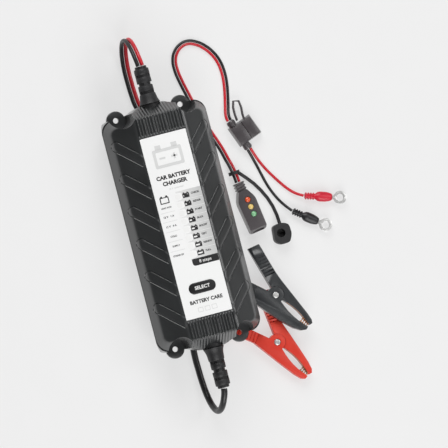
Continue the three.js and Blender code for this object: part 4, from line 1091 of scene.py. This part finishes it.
def step_bar():
    left, low = ROWS_LEFT + 2, ROWS_BOTTOM - BAR_HEIGHT
    bar = [(left, low, 3.0), (ROWS_RIGHT, low), (ROWS_RIGHT, ROWS_BOTTOM), (left, ROWS_BOTTOM)]
    printed("step_bar", [rounded(bar, 0.1)], PRINT_BLACK)
    lettering("step_word", [("8 steps", 9, ROWS_BOTTOM - BAR_HEIGHT / 2, 4.0, "CENTER")], PRINT_WHITE,
              COAT, 0.01)


def label_heading():
    """A large pale battery with its two signs over the title."""
    level = 62.5
    printed("large_battery", battery_shape(0, level, 27, 17), PRINT_PALE)
    printed("large_battery_face", [box_outline(0, level, 21.6, 11.6, 1.0)], LABEL, 1)
    signs = [box_outline(-5.6, level, 5.6, 1.7), box_outline(5.6, level, 5.6, 1.7),
             box_outline(5.6, level, 1.7, 5.6)]
    printed("large_battery_signs", signs, PRINT_PALE, 2)
    lettering("title", [("CAR BATTERY", 0, 45.2, 4.9, "CENTER"), ("CHARGER", 0, 39.4, 4.9, "CENTER")],
              PRINT_BLACK, bold=0.05)
    lettering("fine_lines", [("12 V  automatic", 0, 34.2, 2.2, "CENTER")], PRINT_GREY)


def mode_column():
    """The chosen kind of battery and the modes that the key steps through."""
    x = -13.4
    printed("small_battery", battery_shape(x, 25.4, 8.4, 6.0), PRINT_BLACK)
    printed("small_battery_face", [box_outline(x, 25.4, 6.6, 4.3, 0.4)], LABEL, 1)
    lettering("column_words", [(text, x, y, size, "CENTER") for text, y, size in COLUMN_WORDS],
              PRINT_BLACK, bold=0.03)
    rules = [box_outline(x + 0.2, y, 13.6, 0.22) for y in (14.4, 6, -3, -12, -20.8)]
    printed("column_rules", rules, PRINT_GREY)


def label_foot():
    boxes = (-6.4, 0, 6.4)
    lettering("foot_words", [("BATTERY CARE", 0.6, -69.6, 4.4, "CENTER")], PRINT_BLACK, bold=0.04)
    printed("foot_boxes", [box_outline(x, -77, 4.8, 4.2, 0.6) for x in boxes], PRINT_PALE)
    printed("foot_box_faces", [box_outline(x, -77, 3.9, 3.3, 0.4) for x in boxes], LABEL, 1)


KEY_TOP = TOP + 0.6


def select_key():
    """The key with a collar that holds it behind the cover, and the word on it."""
    bm = bmesh.new()
    prism(bm, key_outline(1.2), TOP - 4.6, TOP - 3.3)
    prism(bm, key_outline(), TOP - 3.3, KEY_TOP)
    rim = [e for e in bm.edges if all(v.co.z > KEY_TOP - 0.1 for v in e.verts)]
    bevel(bm, rim, 0.5, 4)
    build("select_key_cap", bm, KEY, "key", ["select_button"], "select_key", at=CASE, smooth=40)
    lift = BACK + KEY_TOP + 0.01 - PRINT_LEVEL
    word = lettering("select_word", [("SELECT", 0, KEY_Y, 4.3, "CENTER")], PRINT_WHITE, lift, 0.03)
    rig.ride(word, "select_key")


label_sheet()
status_rows()
step_bar()
label_heading()
mode_column()
label_foot()
select_key()

# ---- clamps --------------------------------------------------------------------------------

THICK = 8.7
JAW_INSET = 1.6
HINGE = 6.5  # where the jaws part, from the pin
REACH = 41.0
LEANING = Matrix.Rotation(-math.pi / 2, 4, "Y")  # brings a turned shape's axis upright
RED_PLACE = placed(64.2, -123.4, 0, -61.2)
BLACK_PLACE = placed(72, -81.8, THICK + FIT, -57.2)
UPSIDE = Matrix.Scale(-1, 4, (0, 1, 0))


def jaw_gap(x):
    return 0.9 + 2.3 * math.sin(math.pi * (x - HINGE) / (REACH - HINGE))


def handle_grips(bm, handle):
    """Cutters for seven grip grooves across a handle's two flat sides and its inner edge."""
    for index in range(7):
        along = 18.5 + index * 2.9
        for low, high in ((-1, 0.8), (THICK - 0.8, THICK + 1)):
            block(bm, (along, -8, low), (along + 1.2, 8, high))
        block(bm, (along, 4.4, -1), (along + 1.2, 8, THICK + 1))
    bm.transform(handle)


def handle_chamfers(bm, handle):
    """Cutters for the long chamfers along a handle's inner edges."""
    diagonal = 3 * math.sqrt(0.5)
    for level, sign in ((THICK, 1), (0, -1)):
        middle = Matrix.Translation((33, 4.1 + diagonal, level + sign * (diagonal - 1.3)))
        tilt = Matrix.Rotation(math.radians(sign * 45), 4, "X")
        verts = block(bm, (-18, -3, -3), (18, 3, 3))
        bmesh.ops.transform(bm, matrix=middle @ tilt, verts=verts)
    bm.transform(handle)


def clamp_arm(node, name, at, spread, material, slot, body):
    """The CAD arm with soft edges, chamfers and grips; its handle leans away by the spread angle."""
    bm = bmesh.new()
    bm.from_mesh(nodes[node].data)
    bm.transform(TO_FRAME.inverted())
    bmesh.ops.remove_doubles(bm, verts=bm.verts, dist=0.001)
    bmesh.ops.dissolve_limit(bm, angle_limit=math.radians(1.0), verts=bm.verts, edges=bm.edges)
    bevel(bm, [e for e in sharp_edges(bm, 50) if e.calc_length() > 1.0], 0.75, 3)
    arm = loose(name, bm)
    handle = at @ Matrix.Rotation(math.radians(180 - spread), 4, "Z")
    carved("chamfers", lambda b: handle_chamfers(b, handle), arm)
    carved("grips", lambda b: handle_grips(b, handle), arm)
    return settle(arm, name, material, slot, [node], body, smooth=36)


def clamp_jaw(node, name, at, body):
    """A pressed strip with a row of blunt teeth at its tip."""
    bm = bmesh.new()
    inner = [(x, jaw_gap(x)) for x in (12 + 28.4 * step / 20 for step in range(21))]
    outline = [point for point in inner if point[0] <= 31.6]
    for tooth in range(4):
        start = 32 + tooth * 2.1
        outline += [(start, jaw_gap(start)), (start + 0.8, 0.35), (start + 1.3, 0.35),
                    (start + 2.0, jaw_gap(start))]
    outline += [(x, y + 1.5) for x, y in reversed(inner)]
    prism(bm, outline, JAW_INSET, THICK - JAW_INSET)
    upper_and_lower = [e for e in sharp_edges(bm, 60) if abs(e.verts[0].co.z - e.verts[1].co.z) < 0.01]
    bevel(bm, upper_and_lower, 0.2, 2)
    return build(name, bm, COPPER, "copper", [node], body, at)


def clamp_pin(name, replaced, at):
    bm = bmesh.new()
    profile = [(0, 0.05), (2.4, 0.05), (2.8, 0.4), (2.8, THICK - 0.4), (2.4, THICK - 0.02),
               (1.5, THICK - 0.02), (1.3, THICK - 0.5), (0, THICK - 0.6)]
    turned(bm, profile, LEANING, 40)
    return build(name, bm, STEEL, "plated_steel", [replaced], at=at, smooth=50)


def clamp_spring(name, replaced, at):
    """Two turns of round wire about the pin, between the arms' hubs."""
    bm = bmesh.new()
    radius, wire, turns, steps = 3.9, 0.72, 2.0, 72
    low, high = 3.7 + wire, THICK - 2.7 - wire
    upright = Matrix.Translation((radius, 0, low)) @ Matrix.Rotation(math.pi / 2, 4, "X")
    bmesh.ops.create_circle(bm, segments=10, radius=wire, cap_ends=True, matrix=upright)
    section = [*bm.verts, *bm.edges, *bm.faces]
    bmesh.ops.spin(bm, geom=section, cent=(0, 0, 0), axis=(0, 0, 1), dvec=(0, 0, (high - low) / steps),
                   angle=math.tau * turns, steps=steps, use_merge=False, use_normal_flip=False,
                   use_duplicate=False)
    return build(name, bm, STEEL, "screw_steel", [replaced], at=at, smooth=60)


def clamp(colour, at, spread, material):
    """One spring clamp; its fixed half is the moving half turned over."""
    halves = (("lower", "fixed", at @ UPSIDE, "charger"), ("upper", "moving", at, f"{colour}_clamp_lever"))
    for level, kind, place, body in halves:
        clamp_arm(f"{colour}_clamp_{level}_arm", f"{colour}_{kind}_handle", place, spread, material,
                  f"clamp_{colour}", body)
        clamp_jaw(f"{colour}_clamp_{level}_jaw", f"{colour}_{kind}_jaw", place, body)
    clamp_pin(f"{colour}_pivot_pin", f"{colour}_clamp_pin", at)
    clamp_spring(f"{colour}_coil_spring", f"{colour}_clamp_spring", at)


clamp("red", RED_PLACE, 28.0, RED_GRIP)
clamp("black", BLACK_PLACE, 22.5, BLACK_GRIP)

# ---- plug and quick connector --------------------------------------------------------------

def plug_pin(index):
    node = f"plug_pin_{index}"
    low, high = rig.box(node)
    foot = TO_FRAME.inverted() @ Vector(((low.x + high.x) / 2, high.y, (low.z + high.z) / 2))
    bm = bmesh.new()
    turned(bm, [(0, 0), (2, 0), (2, 17.6), (1.7, 18.5), (1.1, 19), (0, 19)], steps=32)
    build(f"{node}_turned", bm, STEEL, "plated_steel", [node], at=placed(*foot, -90), smooth=40)


softened("mains_plug", "mains_plug_body", RUBBER, "rubber", 1.2, segments=3)
plug_pin(1)
plug_pin(2)
softened("quick_plug", "quick_plug_body", RUBBER, "rubber", 0.5)
softened("clamp_lead_socket", "quick_socket_body", RUBBER, "rubber", 0.5)

# ---- harness -------------------------------------------------------------------------------

CONNECTOR = placed(66.4, 24.4, 0, -81)
LENS_PLACES = [(17 + 7 * index, 0.9) for index in range(3)]
LENSES = (("red", RED_LENS), ("yellow", YELLOW_LENS), ("green", GREEN_LENS))


def indicator_connector():
    """The connector's shell: ribbed neck, tapered body, three lens wells and a socket with two pins."""
    bm = bmesh.new()
    neck, shoulder, end, half, middle = 8.0, 17.0, 47.5, 8.4, 6.5
    outline = rounded([(neck, -4.05, 0.5), (shoulder, -half, 3), (end, -half + 0.6, 2.4),
                       (end, half - 0.6, 2.4), (shoulder, half, 3), (neck, 4.05, 0.5)], 1, 7)
    prism(bm, outline, 0, 2 * middle)
    trimmed(bm, (end - 3.4, 0, 2 * middle), (0.928, 0, 0.372))
    bmesh.ops.recalc_face_normals(bm, faces=bm.faces)
    bevel(bm, [e for e in sharp_edges(bm, 30) if e.calc_length() > 0.3], 1.0, 4)
    case = loose("connector", bm)

    def neck_shape(b):
        block(b, (0, -4.05, 2.4), (neck + 1, 4.05, 10.4))
        bevel(b, b.edges[:], 0.6, 3)

    def ribs(b):
        for index in range(3):
            verts = block(b, (index * 2.7, -4.75, 1.8), (index * 2.7 + 1.5, 4.75, 11))
            rims = {e for v in verts for e in v.link_edges}
            bevel(b, list(rims), 0.45, 2)

    def socket(b):
        prism(b, pill(11, 6.4), end - 12, end + 3)
        lying = Matrix(((0, 0, 1, 0), (1, 0, 0, 0), (0, 1, 0, 0), (0, 0, 0, 1)))
        b.transform(Matrix.Translation((0, 0, middle)) @ lying)

    def wells(b):
        for x, y in LENS_PLACES:
            drum(b, 2.8, 10, 14, Matrix.Translation((x, y, 0)), 36)

    def contacts(b):
        for side in (-1, 1):
            foot = Matrix.Translation((end - 12.5, side * 2.7, middle))
            drum(b, 1.1, 0, 6, foot @ Matrix.Rotation(math.pi / 2, 4, "Y"), 24, tip=0.9)

    carved("neck", neck_shape, case, "UNION")
    carved("ribs", ribs, case, "UNION")
    carved("socket", socket, case)
    carved("wells", wells, case)
    carved("contacts", contacts, case, "UNION")
    return settle(case, "indicator_connector_body", HOLDER, "rubber", ["indicator_connector"],
                  at=CONNECTOR, smooth=36)


def lens(colour, place, material):
    bm = bmesh.new()
    profile = [(0, 0), (2.5, 0), (2.5, 2.5), (2.3, 3.0), (1.9, 3.4), (1.2, 3.75), (0.5, 3.88), (0, 3.9)]
    turned(bm, profile, LEANING, 36)
    at = CONNECTOR @ Matrix.Translation((*place, 10.3))
    return build(f"{colour}_lens_dome", bm, material, f"lens_{colour}", [f"{colour}_lens"], at=at, smooth=60)


def ring_boot(colour, at, material):
    """A strain-relief sleeve: ribs, then a body pressed flatter towards the ring."""
    bm = bmesh.new()
    profile = [(0, 0), (2.2, 0)]
    for index in range(4):
        start = 0.4 + index * 2.3
        profile += [(2.3, start), (3.2, start + 0.35), (3.2, start + 1.2), (2.3, start + 1.5)]
    profile += [(2.6, 9.9), (4.1, 11.8), (4.55, 14), (4.5, 19), (3.9, 22.4), (3.2, 24.4), (2.7, 25), (0, 25)]
    turned(bm, profile, steps=36)
    for vert in bm.verts:
        push = min(1.0, max(0.0, (vert.co.x - 10) / 8))
        vert.co.z *= 1 - 0.34 * push
    return build(f"{colour}_ring_sleeve", bm, material, f"boot_{colour}", [f"ring_boot_{colour}"],
                 at=at, smooth=50)


def ring_terminal(colour, at):
    """A flat ring on a short tongue that runs into its sleeve."""
    bm = bmesh.new()
    centre = Matrix.Translation((32.5, 0, 0))
    drum(bm, 6, -0.5, 0.5, centre, 56)
    plate = loose("ring", bm)
    carved("tongue", lambda b: block(b, (25.3, -2.1, -0.5), (29, 2.1, 0.5)), plate, "UNION")
    carved("hole", lambda b: drum(b, 3.2, -2, 2, centre, 48), plate)
    bm = bmesh.new()
    bm.from_mesh(plate.data)
    bevel(bm, sharp_edges(bm, 50), 0.18, 2)
    bm.to_mesh(plate.data)
    bm.free()
    return settle(plate, f"{colour}_ring_plate", STEEL, "plated_steel", [f"ring_terminal_{colour}"], at=at)


indicator_connector()
for (colour, material), place in zip(LENSES, LENS_PLACES):
    lens(colour, place, material)
softened("dust_cap", "dust_cap_moulding", RUBBER, "rubber", 0.6, sharp=62, segments=3)
softened("fuse_holder_body", "fuse_holder_moulding", HOLDER, "rubber", 0.45, sharp=50)
softened("fuse_cap", "fuse_cap_moulding", HOLDER, "rubber", 0.45, body="fuse_lid", sharp=62)
ring_ends = (("red", RED_BOOT, placed(122.8, -1.9, 4.65, -16.8)),
             ("black", BLACK_BOOT, placed(108.8, -12.5, 4.65, -36.5)))
for colour, material, place in ring_ends:
    ring_boot(colour, place, material)
    ring_terminal(colour, place)

# ---- CAD nodes that keep their shape -------------------------------------------------------

KEPT = {
    "case_gasket": GASKET, "case_screw_1": ZINC, "case_screw_2": ZINC, "case_screw_3": ZINC,
    "case_screw_4": ZINC, "key_switch": KEY, "light_guide": CLEAR, "display_board": BOARD,
    "main_board": BOARD, "transformer_core": FERRITE, "transformer_winding": WINDING,
    "input_capacitor": SLEEVE, "heat_sink": ALUMINIUM, "filter_choke": WINDING, "blade_fuse": FUSE,
}
for name, material in KEPT.items():
    nodes[name].data.materials.clear()
    nodes[name].data.materials.append(material)

for facts in LEADS:
    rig.cord(**facts)

# ---- table and light -----------------------------------------------------------------------

FLOOR_GLOW = 0.57
HORIZON, ZENITH = 0.14, 0.06


def pale_floor():
    """A pale table that glows a little, so that shadows on it stay faint."""
    bm = bmesh.new()
    bmesh.ops.create_grid(bm, x_segments=1, y_segments=1, size=4)
    floor = linked("table_top", mesh_of("table_top", bm))
    glow = {"Emission Color": (1, 1, 1, 1), "Emission Strength": FLOOR_GLOW, "Specular IOR Level": 0.0}
    pale = finish_of("pale_table", (0.30, 0.30, 0.30), (0.305, 0.305, 0.305), 0.9, settings=glow)
    floor.data.materials.append(pale)
    floor.location.z = -0.0002
    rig.stage(floor)


def softbox(name, place, size, power):
    """A round lamp panel aimed at the middle of the charger."""
    data = bpy.data.lights.new(name, "AREA")
    data.shape = "DISK"
    data.size = size
    data.energy = power
    light = linked(name, data)
    light.location = place
    aim = Vector((0, 0, 0.02)) - light.location
    light.rotation_euler = aim.to_track_quat("-Z", "Y").to_euler()


def studio_sky():
    """Bright near the horizon and dark overhead, so that dark plastic stays dark from above."""
    world = bpy.data.worlds.new("studio")
    world.use_nodes = True
    tree = world.node_tree
    place = tree.nodes.new("ShaderNodeTexCoord")
    parts = tree.nodes.new("ShaderNodeSeparateXYZ")
    tree.links.new(place.outputs["Generated"], parts.inputs["Vector"])
    glow = spread_node(tree, parts.outputs["Z"], 0.25, 0.8, HORIZON, ZENITH)
    tree.links.new(glow, tree.nodes["Background"].inputs["Strength"])
    tree.nodes["Background"].inputs["Color"].default_value = (1, 1, 1, 1)
    bpy.context.scene.world = world


pale_floor()
softbox("front_softbox", (-0.1, -1.5, 1.4), 1.7, 29)
softbox("rear_softbox", (0.0, 1.6, 1.4), 1.7, 29)
softbox("right_softbox", (1.2, 0.1, 1.5), 0.8, 6)
studio_sky()
bpy.context.scene.view_settings.view_transform = "Standard"

# ---- sizes and end -------------------------------------------------------------------------

with open("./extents.json", "w") as out:
    json.dump({"cad": [list(c) for c in cad_bounds], "visual": [list(c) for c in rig.bounds()]}, out)
